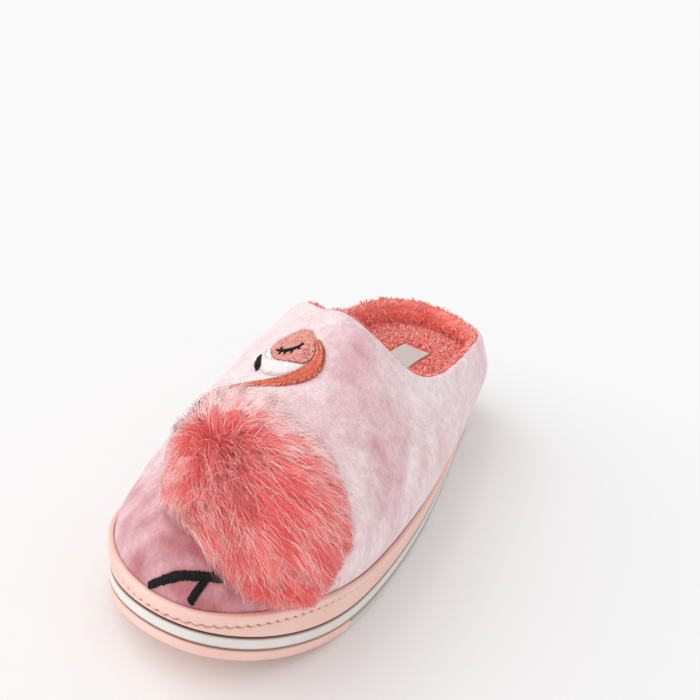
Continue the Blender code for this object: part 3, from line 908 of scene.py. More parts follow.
@dataclass(frozen=True)
class Crease:
    """A soft trough, or a ridge where its depth is below zero, along a line on the upper.

    Its tone is painted shade along a trough, and below zero painted highlight along a ridge.
    """

    line: tuple[tuple[float, float], ...]
    width: float
    depth: float
    tone: float = 0.0


@dataclass(frozen=True)
class BrushedAndPaintedLight:
    """A place where the velour is deeper, or paler below zero: brushed pile, painted shade and highlight."""

    around: float
    up: float
    radius: float
    tone: float


CREASES = (
    Crease(((0.345, 0.92), (0.352, 0.60), (0.356, 0.25)), 0.0040, 0.0008, 0.14),
    Crease(((0.330, 0.90), (0.336, 0.55), (0.342, 0.20)), 0.0030, -0.0005, -0.16),
    Crease(((0.306, 0.88), (0.314, 0.50), (0.322, 0.18)), 0.0035, 0.0007, 0.10),
    Crease(((0.292, 0.80), (0.298, 0.45)), 0.0030, -0.0005, -0.10),
    Crease(((0.270, 0.88), (0.268, 0.50), (0.276, 0.15)), 0.0045, 0.0007, 0.09),
    Crease(((0.240, 0.82), (0.232, 0.40)), 0.0040, 0.0006, 0.08),
    Crease(((0.372, 0.80), (0.380, 0.45), (0.378, 0.18)), 0.0040, 0.0008, 0.14),
    Crease(((0.395, 0.90), (0.400, 0.60)), 0.0040, 0.0006, 0.12),
    Crease(((0.205, 0.85), (0.198, 0.35)), 0.0040, 0.0005, 0.06),
    Crease(((0.165, 0.85), (0.158, 0.35)), 0.0050, 0.0006, 0.06),
    Crease(((0.120, 0.80), (0.115, 0.30)), 0.0055, 0.0005, 0.05),
    Crease(((0.600, 0.62), (0.640, 0.35)), 0.0060, 0.0008, 0.06),
    Crease(((0.640, 0.75), (0.690, 0.40), (0.700, 0.20)), 0.0060, 0.0008, 0.08),
    Crease(((0.720, 0.85), (0.740, 0.45)), 0.0060, 0.0007, 0.06),
    Crease(((0.800, 0.80), (0.810, 0.30)), 0.0060, 0.0006, 0.05),
    Crease(((0.880, 0.85), (0.890, 0.30)), 0.0055, 0.0005, 0.05),
    Crease(((0.560, 0.34), (0.590, 0.24), (0.625, 0.22)), 0.0050, 0.0007, 0.10),
    Crease(((0.446, 0.92), (0.430, 0.74)), 0.0060, 0.0006, 0.10),
)

BRUSHED_AND_PAINTED_LIGHT_PLACES = (
    BrushedAndPaintedLight(0.500, 0.10, 0.030, 0.48),
    BrushedAndPaintedLight(0.545, 0.20, 0.026, 0.28),
    BrushedAndPaintedLight(0.450, 0.10, 0.024, 0.22),
    BrushedAndPaintedLight(0.590, 0.20, 0.022, 0.15),
    BrushedAndPaintedLight(0.380, 0.50, 0.022, 0.10),
    BrushedAndPaintedLight(0.456, 0.97, 0.019, 0.30),
    BrushedAndPaintedLight(0.425, 0.76, 0.020, 0.16),
    BrushedAndPaintedLight(0.400, 0.66, 0.020, 0.10),
    BrushedAndPaintedLight(0.600, 0.70, 0.030, -0.16),
    BrushedAndPaintedLight(0.560, 0.92, 0.018, -0.02),
    BrushedAndPaintedLight(0.500, 0.97, 0.014, -0.02),
    BrushedAndPaintedLight(0.250, 0.35, 0.026, -0.06),
    BrushedAndPaintedLight(0.690, 0.40, 0.026, 0.10),
    BrushedAndPaintedLight(0.780, 0.50, 0.022, 0.10),
    BrushedAndPaintedLight(0.900, 0.40, 0.022, 0.08),
    BrushedAndPaintedLight(0.050, 0.50, 0.022, 0.08),
)


@dataclass
class Upper:
    """The velour shell with its rolled collar, and the fleece wall inside it."""

    last: Last
    around: int = 400
    rows: int = 80
    roll_steps: int = 7
    velour_turn: float = 78.0
    skin: float = 0.0022
    clear: float = 0.0002
    lumps: float = 0.0007
    lining_around: int = 400
    lining_rows: int = 56
    fleece_lumps: float = 0.0008
    band: float = 0.0015
    curls: int = 4700
    curls_from: float = -0.060
    curls_up: tuple[float, float] = (0.25, 0.985)
    roll_curls: int = 1600
    roll_curl_height: float = 0.55
    nap_and_painted_light: float = 0.185
    seed: int = 11

    def wall_ring(self, around: np.ndarray, up: float, depth: float) -> np.ndarray:
        """One ring at a share up and a depth inside the outer face."""
        points, normal, _ = self.last.wall_frame(around, up)
        return points - normal * depth

    def crease_shares(self, points: np.ndarray) -> list[np.ndarray]:
        """How much of each crease reaches each point.

        Args:
            points: Points of the upper's outer face.

        Returns:
            For each crease, a share for each point.
        """
        result = []
        places = np.linspace(0.0, 1.0, 24)
        for crease in CREASES:
            marks = np.array(crease.line)
            knots = np.linspace(0.0, 1.0, len(marks))
            line = self.last.surface(*(np.interp(places, knots, column) for column in marks.T))
            apart = np.linalg.norm(points[:, None] - line[None], axis=2)
            taper = np.sin(np.pi * np.clip(places[apart.argmin(axis=1)], 0.06, 0.94)) ** 0.5
            result.append(taper * np.exp(-(apart.min(axis=1) / crease.width) ** 2))
        return result

    def nap_and_painted_light_mask(self, points: np.ndarray) -> np.ndarray:
        """How deep the velour's colour is: pile blotches, with painted shade and painted highlight.

        Args:
            points: Points of the upper's outer face.

        Returns:
            A share for each point.
        """
        total = self.nap_and_painted_light + 0.09 * lump_noise(points, 0.016, 3) + 0.06 * lump_noise(points, 0.006, 4)
        total += 0.07 * lump_noise(points * [1.0, 1.0, 0.22], 0.0045, 12)
        # painted shade along crease troughs, painted highlight along ridges and in the paler brushed places
        for crease, share in zip(CREASES, self.crease_shares(points)):
            total += crease.tone * share
        for place in BRUSHED_AND_PAINTED_LIGHT_PLACES:
            centre = self.last.surface(np.array([place.around]), np.array([place.up]))[0]
            apart = np.linalg.norm(points - centre, axis=1) / place.radius
            total += place.tone * np.exp(-apart ** 2) * (1.0 + 0.4 * lump_noise(points, 0.007, 5))
        return np.clip(total, 0.0, 1.0)

    def roll_ring(self, around: np.ndarray, turn: float, radius: np.ndarray) -> np.ndarray:
        """One ring round the collar's roll.

        Args:
            around: Places round the foot.
            turn: Degrees over the roll, 0 outside, 90 on top and 180 inside.
            radius: Distance from the roll's middle.

        Returns:
            Its points.
        """
        top, normal, rise = self.last.wall_frame(around, 1.0)
        way = math.cos(math.radians(turn)) * normal + math.sin(math.radians(turn)) * rise
        return top - normal * (self.last.wall / 2.0) + way * np.broadcast_to(radius, len(around))[:, None]

    def build_shell(self) -> None:
        """The velour: up the outside, over the collar to the top of its roll, and back inside the wall."""
        around = full_turn(self.around)
        rings = []
        for up in np.linspace(0.0, 1.0, self.rows):
            points, normal, _ = self.last.wall_frame(around, up)
            loose = soft_step(up, 0.10, 0.25) * (1.0 - 0.6 * soft_step(up, 0.9, 1.0))
            swell = self.lumps * (0.7 * lump_noise(points, 0.022, 1) + 0.4 * lump_noise(points, 0.009, 2))
            depth = sum(crease.depth * share for crease, share in zip(CREASES, self.crease_shares(points)))
            rings.append(points + normal * ((swell - depth) * loose)[:, None])
        half = self.last.wall / 2.0
        wave = 1.0 + 0.08 * lump_noise(self.roll_ring(around, 90.0, half), 0.012, 6)
        for turn in np.linspace(0.0, self.velour_turn, self.roll_steps + 1)[1:]:
            share = math.sin(math.radians(turn))
            rings.append(self.roll_ring(around, turn, half * (1.0 + (wave - 1.0) * share)))
        rings.append(self.roll_ring(around, self.velour_turn + 3.0, half * 0.85))
        rings.append(self.roll_ring(around, self.velour_turn, half * 0.4))
        for up in np.linspace(0.97, 0.0, 12):
            rings.append(self.wall_ring(around, up, self.skin))
        data = mesh_data(lofted(np.array(rings), Ends.LOOPED), self.last.shift)
        # the mask holds the pile's blotches with painted shade and painted highlight
        places = np.array([corner.co[:] for corner in data.vertices]) - self.last.shift
        mask = data.attributes.new("nap_and_painted_light", "FLOAT", "POINT")
        mask.data.foreach_set("value", self.nap_and_painted_light_mask(places).astype(np.float32))
        add_piece("upper_velour", data, VELOUR, ("upper",))

    def band_share(self, up: Numbers) -> Numbers:
        """How far the lining's rolled upper band swells at a share up the wall."""
        return soft_step(up, 0.70, 0.84) * (1.0 - 0.6 * soft_step(up, 0.93, 1.0))

    def build_lining(self) -> None:
        """The fleece wall behind the velour, from the top of the roll down the side that the foot meets."""
        around = full_turn(self.lining_around)
        half = self.last.wall / 2.0
        rings = [self.wall_ring(around, up, self.skin + self.clear) for up in np.linspace(0.0, 0.965, 10)]
        rings.append(self.roll_ring(around, 130.0, half * 0.3))
        rings.append(self.roll_ring(around, self.velour_turn + 8.0, half * 0.8))
        for turn in np.linspace(self.velour_turn + 9.0, 172.0, 8):
            top = self.roll_ring(around, turn, half)
            pile = 0.5 + 0.5 * lump_noise(top, 0.0030, 13)
            swell = math.sin(math.radians(min(90.0, 3.0 * (turn - self.velour_turn - 8.0))))
            band = self.band * self.band_share(1.0) * max(0.0, -math.cos(math.radians(turn)))
            rings.append(self.roll_ring(around, turn, half + self.fleece_lumps * pile * swell + band))
        for up in np.linspace(0.985, 0.0, self.lining_rows):
            points, normal, _ = self.last.wall_frame(around, up)
            pile = 0.5 + 0.5 * lump_noise(points, 0.0032, 7) + 0.3 * lump_noise(points, 0.008, 8)
            depth = self.last.wall + self.clear + self.band * self.band_share(up)
            depth = depth + self.fleece_lumps * pile * soft_step(up, 0.0, 0.2)
            rings.append(points - normal * depth[:, None])
        data = mesh_data(lofted(np.array(rings), Ends.LOOPED), self.last.shift)
        add_piece("upper_lining", data, FLEECE)

    def build_curls(self) -> None:
        """Curled tufts of fleece over the lining, from the footbed up to the top of the roll."""
        rng = np.random.default_rng(self.seed)
        around, up = rng.random(CANDIDATES), rng.uniform(*self.curls_up, CANDIDATES)
        points, normal, _ = self.last.wall_frame(around, up)
        step, surface = 2e-3, self.last.surface
        wide = np.linalg.norm(surface(around + step, up) - surface(around - step, up), axis=1)
        high = np.linalg.norm(surface(around, up + step) - surface(around, up - step), axis=1)
        chosen = drawn(rng, wide * high * (points[:, 1] > self.curls_from), self.curls)
        depth = self.last.wall + 0.0004 + self.band * self.band_share(up[chosen])
        roots = points[chosen] - normal[chosen] * depth[:, None]
        ways = -normal[chosen]
        collar = rng.random(self.roll_curls)
        top, normal, rise = self.last.wall_frame(collar, 1.0)
        turn = np.radians(rng.uniform(self.velour_turn + 12.0, 180.0, self.roll_curls))[:, None]
        way = np.cos(turn) * normal + np.sin(turn) * rise
        half = self.last.wall / 2.0
        roots = np.concatenate([roots, top - normal * half + way * (half + 0.0003)])
        tall = np.append(np.ones(self.curls), np.full(self.roll_curls, self.roll_curl_height))
        paths, widths = curl_paths(roots, np.concatenate([ways, way]), tall, rng)
        data = strand_data(paths, widths, rng.random(len(roots)), self.last.shift)
        add_piece("lining_curls", data, CURLS)

    def build(self) -> None:
        """Build the upper's pieces."""
        self.build_shell()
        self.build_lining()
        self.build_curls()


@dataclass(frozen=True)
class Curl:
    """The least and greatest sizes of a fleece curl."""

    height: tuple[float, float] = (0.0009, 0.0018)
    reach: tuple[float, float] = (0.0014, 0.0030)
    bend: tuple[float, float] = (-0.0012, 0.0012)
    half_width: tuple[float, float] = (0.00036, 0.00056)
    sunk: float = 0.0004
    knee: float = 0.35


def drawn(rng: np.random.Generator, weight: np.ndarray, count: int) -> np.ndarray:
    """Numbers of places drawn without repeats, the heavier ones more often."""
    return rng.choice(len(weight), count, replace=False, p=weight / weight.sum())


def curl_paths(roots: np.ndarray, normals: np.ndarray, tall: np.ndarray,
               rng: np.random.Generator) -> tuple[np.ndarray, np.ndarray]:
    """Short curled tufts that stand on a surface and lie over.

    Args:
        roots: Where each tuft starts.
        normals: The way each one stands.
        tall: Share of the full height for each.
        rng: Source of chance.

    Returns:
        Paths of three steps each, and their half widths.
    """
    count, curl = len(roots), Curl()
    lean = unit(np.cross(normals, rng.normal(size=(count, 3))))
    side = np.cross(normals, lean)
    height = (rng.uniform(*curl.height, count) * tall)[:, None]
    reach = rng.uniform(*curl.reach, count)[:, None]
    bend = rng.uniform(*curl.bend, count)[:, None]
    steps = [roots - normals * curl.sunk,
             roots + normals * height + lean * reach * curl.knee + side * bend,
             roots + normals * height * curl.knee + lean * reach]
    widths = rng.uniform(*curl.half_width, count)[:, None] * np.array([0.9, 1.0, 0.0])
    return np.stack(steps, axis=1), widths


# Footbed and label


@dataclass
class Footbed:
    """The foam footbed under its curly fleece, with the woven label."""

    last: Last
    heel: float = 0.0165
    fore: float = 0.0095
    thin_from: float = 0.38
    thin_to: float = 0.68
    edge_round: float = 0.0034
    side_gap: float = 0.0009
    around: int = 360
    rungs: int = 56
    lumps: float = 0.0008
    curls: int = 8600
    curls_from: float = -0.055
    seed: int = 12
    fill: float = 0.8
    label_length: float = 0.0360
    label_width: float = 0.0135
    label_thickness: float = 0.0007
    label_along: float = 0.232
    label_turn: float = -8.0
    label_clear: float = 0.0018
    label_grid: tuple[int, int] = (16, 40)

    def top(self, y: np.ndarray) -> np.ndarray:
        """Height of the footbed's top along the foot."""
        along = 0.5 - y / self.last.foot_length
        share = soft_step(along, self.thin_from, self.thin_to)
        return self.last.feather(y) + self.heel + (self.fore - self.heel) * share

    def rings(self) -> np.ndarray:
        """Rings of the footbed's side, from its foot to the flat of its top."""
        around = full_turn(self.around)
        foot, normal = self.last.outline(around)
        base = self.last.feather(foot[:, 1])
        tall = self.top(foot[:, 1]) - base
        rings = []
        for share in (0.0, 0.4):
            plan = self.last.at_height(around, base + share * tall, self.last.wall) - normal * self.side_gap
            low = self.last.feather(plan[:, 1])
            rings.append(np.column_stack([plan, low + share * (self.top(plan[:, 1]) - low)]))
        side = self.last.at_height(around, base + tall, self.last.wall) - normal * self.side_gap
        for turn in np.linspace(0.0, math.pi / 2.0, 5):
            plan = side - normal * (self.edge_round * (1.0 - math.cos(turn)))
            height = self.top(plan[:, 1]) - self.edge_round * (1.0 - math.sin(turn))
            rings.append(np.column_stack([plan, height]))
        return np.array(rings)

    def build_bed(self) -> None:
        """The footbed's body with the fleece's lumps on its top."""
        rings = self.rings()
        mesh = lofted(rings, Ends.CAPPED, self.rungs)
        mesh.normal_update()
        corners = [corner for corner in mesh.verts if corner.normal.z > 0.4]
        points = np.array([corner.co[:] for corner in corners])
        rise = self.lumps * (lump_noise(points, 0.0034, 9) + 0.8 * lump_noise(points, 0.009, 10))
        for corner, lift in zip(corners, rise):
            corner.co.z += float(lift)
        piece = add_piece("footbed", mesh_data(mesh, self.last.shift), FLEECE, ("insole",))
        self.build_curls(rings[-1])

    def build_curls(self, edge: np.ndarray) -> None:
        """Curled tufts over the part of the footbed that the collar leaves open.

        Args:
            edge: The ring round the footbed's top.
        """
        rng = np.random.default_rng(self.seed)
        along = rng.uniform(0.0, 0.999, CANDIDATES) * (self.around // 2)
        share = rng.random(CANDIDATES)
        low = along.astype(int)
        part = (along - low)[:, None]
        near = edge[low] * (1.0 - part) + edge[low + 1] * part
        far = edge[-low % self.around] * (1.0 - part) + edge[(-low - 1) % self.around] * part
        points = near * (1.0 - share[:, None]) + far * share[:, None]
        points[:, 2] = self.top(points[:, 1])
        weight = np.linalg.norm(near - far, axis=1) * (points[:, 1] > self.curls_from)
        chosen = drawn(rng, weight * ~self.under_label(points), self.curls)
        normals = np.tile([0.0, 0.0, 1.0], (self.curls, 1))
        paths, widths = curl_paths(points[chosen] + [0.0, 0.0, 0.0003], normals, np.ones(self.curls), rng)
        data = strand_data(paths, widths, rng.random(self.curls), self.last.shift)
        add_piece("footbed_curls", data, CURLS)

    def label_place(self) -> tuple[float, np.ndarray, np.ndarray]:
        """The label's middle along the foot, and its directions across and along."""
        turn = math.radians(self.label_turn)
        across = np.array([math.cos(turn), math.sin(turn)])
        return self.last.to_y(self.label_along), across, np.array([-across[1], across[0]])

    def under_label(self, points: np.ndarray) -> np.ndarray:
        """Whether each point lies under the label or close to its edge."""
        middle, across, along = self.label_place()
        plan = points[:, :2] - [0.0, middle]
        inside = np.abs(plan @ across) < self.label_width / 2.0 + self.label_clear
        return inside & (np.abs(plan @ along) < self.label_length / 2.0 + self.label_clear)

    def build_label(self) -> None:
        """The woven label, laid on the fleece with its corners a little up and its ends turned under."""
        mesh = bmesh.new()
        corners, numbers = grid_corners(mesh, *self.label_grid)
        middle, across, along = self.label_place()
        shares = numbers / self.label_grid - 0.5
        plan = (shares[:, :1] * self.label_width * across + shares[:, 1:] * self.label_length * along)
        plan[:, 1] += middle
        crown = 0.0014 + 0.0004 * (2.0 * shares[:, 0]) ** 2 + 0.0003 * np.sin(9.0 * shares[:, 1])
        crown -= 0.0008 * np.clip(np.abs(shares[:, 1]) * 2.0 - 0.93, 0.0, None) / 0.07
        height = self.top(np.full(len(plan), middle)) + crown
        move_corners(corners, np.column_stack([plan, height]))
        bmesh.ops.solidify(mesh, geom=mesh.faces[:], thickness=self.label_thickness)
        bmesh.ops.recalc_face_normals(mesh, faces=mesh.faces[:])
        data = mesh_data(mesh, self.last.shift, 40.0)
        piece = add_piece("label", data, TAPE, ("insole_label",))

    def build(self) -> None:
        """Build the footbed's pieces."""
        self.build_bed()
        self.build_label()


# Sole


@dataclass(frozen=True)
class Pad:
    """One pink pad under the sole, its cuts in shares of the foot, None where it runs to the edge."""

    node: str
    back: float | None
    front: float | None
    outer: float | None
    inner: float | None
    wraps: bool
    ribs: int = 0


PADS = (
    Pad("pad_heel", None, 0.080, None, None, True),
    Pad("pad_heel_band", 0.120, 0.200, None, None, False, 5),
    Pad("pad_arch_inner", 0.240, 0.585, 0.140, None, False, 24),
    Pad("pad_arch_centre", 0.265, 0.560, -0.090, 0.090, False),
    Pad("pad_arch_outer", 0.240, 0.585, None, -0.140, False, 24),
    Pad("pad_fore_band", 0.625, 0.745, None, None, False, 8),
    Pad("pad_toe", 0.780, None, None, None, True),
)


@dataclass
class Sole:
    """The moulded sole: pink rand with its scalloped lip, white midsole, and the pads under it."""

    last: Last
    around: int = 288
    rand_around: int = 1152
    inlay: float = 0.0030
    recess: float = 0.0006
    pad_rim: float = 0.0022
    edge_round: float = 0.0007
    ground_round: float = 0.0014
    pad_corner: float = 0.0030
    pocket_reach: float = 0.0030
    lip_step: float = 0.0009
    lip_thickness: float = 0.0019
    lip_height: float = 0.0026
    toe_lip_height: float = 0.0044
    lip_rise: float = 0.0004
    toe_lip_rise: float = 0.0042
    scallop_pitch: float = 0.0034
    scallop_depth: float = 0.0009
    toe_from: float = 0.72
    toe_full: float = 0.93
    seam_round: float = 0.0010
    under_lip: float = 0.0008
    line_in: float = 0.0032
    line_width: float = 0.0009
    line_depth: float = 0.0008
    rib_rim: float = 0.0024
    rib_groove: float = 0.0012
    rib_depth: float = 0.0012
    rib_corner: float = 0.0012

    def ring(self, around: np.ndarray, out: np.ndarray,
             height: Callable[[np.ndarray], np.ndarray]) -> np.ndarray:
        """One ring round the sole.

        Args:
            around: Places round the foot.
            out: How far outside the feather line.
            height: The ring's height from the Y of each point.

        Returns:
            Its points.
        """
        foot, normal = self.last.outline(around)
        plan = foot + normal * np.broadcast_to(out, len(around))[:, None]
        return np.column_stack([plan, height(plan[:, 1])])

    def level_rings(self, steps: Sequence[tuple[float, float]], count: int) -> np.ndarray:
        """Rings at heights over the underside.

        Args:
            steps: Height over the underside, and how far out of the sole's side.
            count: Points round each ring.

        Returns:
            The rings.
        """
        around = full_turn(count)
        flare = self.last.flare(around)
        tall = self.last.pad_thickness + self.last.midsole_height
        rings = []
        for level, out in steps:
            side = self.last.side_out + flare * (1.0 - max(level, 0.0) / tall) + out
            rings.append(self.ring(around, side, lambda y, level=level: self.last.floor(y) + level))
        return np.array(rings)

    def rounded(self, level: float, out: float, radius: float, start: float, steps: int = 4) -> list:
        """Steps of a quarter round edge.

        Args:
            level: Height of the round's centre.
            out: Place of the round's centre.
            radius: The round's radius.
            start: Angle where it starts, in degrees, 0 outwards and -90 down.
            steps: Faces round it.

        Returns:
            Heights and places, one quarter turn on.
        """
        turns = np.radians(start + np.linspace(0.0, 90.0, steps + 1))
        return [(level + radius * math.sin(turn), out + radius * math.cos(turn)) for turn in turns]

    def cut(self, mesh: bmesh.types.BMesh, axis: int, place: float, keep_above: bool) -> None:
        """Cut a body across an axis and close the cut.

        Args:
            mesh: The body.
            axis: 0 for X and 1 for Y.
            place: Where the cut lies.
            keep_above: Which side stays.
        """
        way = Vector([float(number == axis) for number in range(3)])
        whole = mesh.verts[:] + mesh.edges[:] + mesh.faces[:]
        bmesh.ops.bisect_plane(mesh, geom=whole, plane_co=way * place, plane_no=-way if keep_above else way,
                               clear_outer=True)
        rim = [edge for edge in mesh.edges if edge.is_boundary]
        bmesh.ops.holes_fill(mesh, edges=rim, sides=0)

    def trim(self, mesh: bmesh.types.BMesh, pad: Pad, grow: float, corner: float) -> None:
        """Cut a full plate down to a pad's outline and round its upright corners.

        Args:
            mesh: The plate.
            pad: Which pad.
            grow: How far outside the pad's own cuts.
            corner: The corners' radius.
        """
        places = ([], [])
        for share, axis, keep_above in ((pad.back, 1, False), (pad.front, 1, True),
                                        (pad.outer, 0, True), (pad.inner, 0, False)):
            if share is not None:
                place = self.last.to_y(share) if axis else share * self.last.ball_width
                places[axis].append(place - grow if keep_above else place + grow)
                self.cut(mesh, axis, places[axis][-1], keep_above)

        def on_cut(edge: bmesh.types.BMEdge, axis: int) -> bool:
            """Whether an edge lies in one of the cuts across an axis."""
            return any(all(abs(end.co[axis] - place) < TINY for end in edge.verts) for place in places[axis])

        corners = [edge for edge in mesh.edges if on_cut(edge, 0) and on_cut(edge, 1)]
        if corners:
            bmesh.ops.bevel(mesh, geom=corners, offset=corner, offset_type="OFFSET", segments=4, profile=0.5,
                            affect="EDGES", material=-1)
        bmesh.ops.recalc_face_normals(mesh, faces=mesh.faces[:])

    def pad_top(self, pad: Pad) -> float:
        """How thick a pad is."""
        return self.last.pad_thickness if pad.wraps else self.inlay

    def pocket(self, pad: Pad) -> bmesh.types.BMesh:
        """The body that cuts a pad's pocket out of the midsole."""
        gap = self.last.gap
        past = self.pocket_reach if pad.wraps else gap - self.pad_rim
        steps = ((-self.pocket_reach, past), (self.pad_top(pad) + gap, past))
        mesh = lofted(self.level_rings(steps, self.around), Ends.CAPPED)
        self.trim(mesh, pad, gap, self.pad_corner)
        return mesh

    def pad_mesh(self, pad: Pad) -> bmesh.types.BMesh:
        """A pad's body, with a moulded line inside its outer edge."""
        rim = 0.0 if pad.wraps else self.pad_rim
        inner = -rim - self.line_in
        steps = [(0.0, inner - self.line_width), (self.line_depth, inner - 0.7 * self.line_width),
                 (self.line_depth, inner - 0.3 * self.line_width), (0.0, inner)]
        steps += self.rounded(self.ground_round, -rim - self.ground_round, self.ground_round, -90.0)
        top_round = self.seam_round if pad.wraps else self.edge_round
        steps += self.rounded(self.pad_top(pad) - top_round, -rim - top_round, top_round, 0.0)
        mesh = lofted(self.level_rings(steps, self.around), Ends.CAPPED)
        self.trim(mesh, pad, 0.0, self.pad_corner)
        return mesh

    def boolean(self, thing: bpy.types.Object, operation: str, other: bpy.types.Object) -> None:
        """Cut or intersect one object with another, which is then removed.

        Args:
            thing: The object that is changed.
            operation: DIFFERENCE or INTERSECT.
            other: The tool.
        """
        modifier = thing.modifiers.new("cut", "BOOLEAN")
        modifier.operation = operation
        modifier.object = other
        modifier.solver = "EXACT"
        evaluated = thing.evaluated_get(bpy.context.evaluated_depsgraph_get())
        result = bpy.data.meshes.new_from_object(evaluated)
        thing.modifiers.remove(modifier)
        thing.data = result
        bpy.data.objects.remove(other)

    def grooves(self, pad: Pad) -> bpy.types.Object:
        """The bars that cut a pad's cross grooves, kept inside its rim."""
        mesh = bmesh.new()
        back, front = self.last.to_y(pad.back), self.last.to_y(pad.front)
        pitch = (front - back) / (pad.ribs + 1)
        for number in range(1, pad.ribs + 1):
            place = Matrix.Translation((0.0, back + pitch * number, self.rib_depth / 2.0 - 0.001))
            size = Matrix.Diagonal((0.2, self.rib_groove, self.rib_depth + 0.002, 1.0))
            bmesh.ops.create_cube(mesh, size=1.0, matrix=place @ size)
        bars = new_object("bars", mesh)
        edge = -self.pad_rim - self.rib_rim
        inside = lofted(self.level_rings(((-0.004, edge), (0.004, edge)), self.around), Ends.CAPPED)
        self.trim(inside, pad, -self.rib_rim, self.rib_corner)
        self.boolean(bars, "INTERSECT", new_object("inside", inside))
        return bars

    def publish(self, name: str, thing: bpy.types.Object, finish: Rubber, node: str,
                shades: Sequence[tuple[float, float]]) -> None:
        """Make a piece of a boolean's result and drop the plain object.

        Args:
            name: The piece's name.
            thing: The plain object.
            finish: Its rubber.
            node: The CAD node that it replaces.
            shades: Heights over the underside, each with its depth of shade.
        """
        mesh = bmesh.new()
        mesh.from_mesh(thing.data)
        bpy.data.objects.remove(thing)
        bmesh.ops.remove_doubles(mesh, verts=mesh.verts[:], dist=TINY)
        bmesh.ops.triangulate(mesh, faces=[face for face in mesh.faces if len(face.verts) > 4])
        layer = mesh.verts.layers.float.new("tone")
        for corner in mesh.verts:
            level = corner.co.z - self.last.floor(corner.co.y)
            corner[layer] = float(np.interp(level, *zip(*shades)))
        add_piece(name, mesh_data(mesh, self.last.shift, 35.0), finish, (node,))

    def build_pads(self) -> None:
        """The pads, each with its moulded lines and cross ribs."""
        for pad in PADS:
            thing = new_object(pad.node, self.pad_mesh(pad))
            if pad.ribs:
                self.boolean(thing, "DIFFERENCE", self.grooves(pad))
            top = self.pad_top(pad)
            # painted shade: the pad's side darkens just below its top, at the seam with the midsole
            shades = ((top - 0.0009, 0.0), (top, 1.0))
            self.publish("sole_" + pad.node, thing, PINK_RUBBER, pad.node, shades)

    def build_midsole(self) -> None:
        """The white midsole with a pocket for each pad."""
        tall = self.last.pad_thickness + self.last.midsole_height
        steps = self.rounded(self.recess + self.ground_round, -self.ground_round, self.ground_round, -90.0)
        steps += [(self.last.pad_thickness + rise, 0.0) for rise in (0.0003, 0.0010)]
        steps += self.rounded(tall - self.seam_round, -self.seam_round, self.seam_round, 0.0)
        thing = new_object("midsole", lofted(self.level_rings(steps, self.around), Ends.CAPPED))
        for pad in PADS:
            self.boolean(thing, "DIFFERENCE", new_object("pocket", self.pocket(pad)))
        low = self.last.pad_thickness
        # painted shade: dark bands at the seam with the pads and at the seam with the rand
        shades = ((low - 0.0003, 0.0), (low, 0.9), (low + 0.0004, 0.8), (low + 0.0010, 0.0),
                  (tall - 0.0008, 0.0), (tall - 0.0003, 0.8), (tall, 1.0))
        self.publish("sole_midsole", thing, WHITE_RUBBER, "midsole", shades)

    def build_rand(self) -> None:
        """The pink rand: a band over the midsole and a raised lip with a scalloped lower edge."""
        around = full_turn(self.rand_around)
        last = self.last
        foot, normal = last.outline(around)
        toe = soft_step(0.5 - foot[:, 1] / last.foot_length, self.toe_from, self.toe_full)
        feather = last.feather(foot[:, 1])
        lip_top = feather + self.lip_rise + (self.toe_lip_rise - self.lip_rise) * toe
        lip_foot = lip_top - self.lip_height - (self.toe_lip_height - self.lip_height) * toe
        lip_foot = np.maximum(lip_foot, last.midsole_top(foot[:, 1]) + 4.0 * self.edge_round)
        length = np.cumsum(np.linalg.norm(foot - np.roll(foot, 1, axis=0), axis=1))
        waves = round(length[-1] / self.scallop_pitch)
        wave = np.abs(np.sin(math.pi * waves * length / length[-1])) ** 0.8 - 0.3
        lip_foot = lip_foot - self.scallop_depth * (0.35 + 0.65 * toe) * wave
        coarse = full_turn(72)
        lap = last.at_height(coarse, np.interp(coarse, around, lip_top))
        coarse_foot, coarse_normal = last.outline(coarse)
        lap_out = ((lap - coarse_foot) * coarse_normal).sum(axis=1) + last.gap
        lap_out = np.interp(around, np.append(coarse, 1.0), np.append(lap_out, lap_out[0]))
        step_out = last.side_out + self.lip_step
        lip_out = np.maximum(lap_out + self.lip_thickness, step_out)
        top_round = 0.42 * self.lip_thickness

        def ring(out: np.ndarray, height: np.ndarray) -> np.ndarray:
            """A ring whose height is given for each place round the foot."""
            plan = foot + normal * np.broadcast_to(out, len(around))[:, None]
            return np.column_stack([plan, np.broadcast_to(height, len(around))])

        side = last.side_out
        rings = []
        seam = self.seam_round
        for level, out in self.rounded(seam, side - seam, seam, -90.0):
            rise = last.gap + level
            rings.append(self.ring(around, out, lambda y, rise=rise: last.midsole_top(y) + rise))
        for start, out, rise in ((side, 0.0, -2.0), (side, -0.35, -1.1), (side, -0.60, -0.3),
                                 (step_out, -0.1, 0.0), (step_out, 0.2, 0.5)):
            rings.append(ring(start + out * self.under_lip, lip_foot + rise * self.under_lip))
        rings.append(ring(lip_out, 0.45 * lip_foot + 0.55 * lip_top))
        for turn in np.radians([15.0, 40.0, 65.0, 90.0]):
            out = lip_out - top_round * (1.0 - math.cos(turn))
            rings.append(ring(out, lip_top - top_round * (1.0 - math.sin(turn))))
        rings.append(ring(lap_out + 0.0002, lip_top))
        rings.append(ring(lap_out, lip_top - 0.0002))
        rings.append(self.ring(around, last.gap, lambda y: last.feather(y) - last.gap))
        # painted shade: dark tones in the seam groove over the midsole and in the shadow under the scalloped
        # lip
        tones = np.zeros(len(rings))
        tones[:3] = (1.0, 0.9, 0.45)
        tones[6:9] = (0.9, 1.0, 0.5)
        mesh = lofted(np.array(rings), Ends.CAPPED, 1, tones)
        data = mesh_data(mesh, last.shift, 50.0)
        add_piece("sole_rand", data, PINK_RUBBER, ("rand",))

    def build(self) -> None:
        """Build the sole's pieces."""
        self.build_rand()
        self.build_midsole()
        self.build_pads()


# Pompom


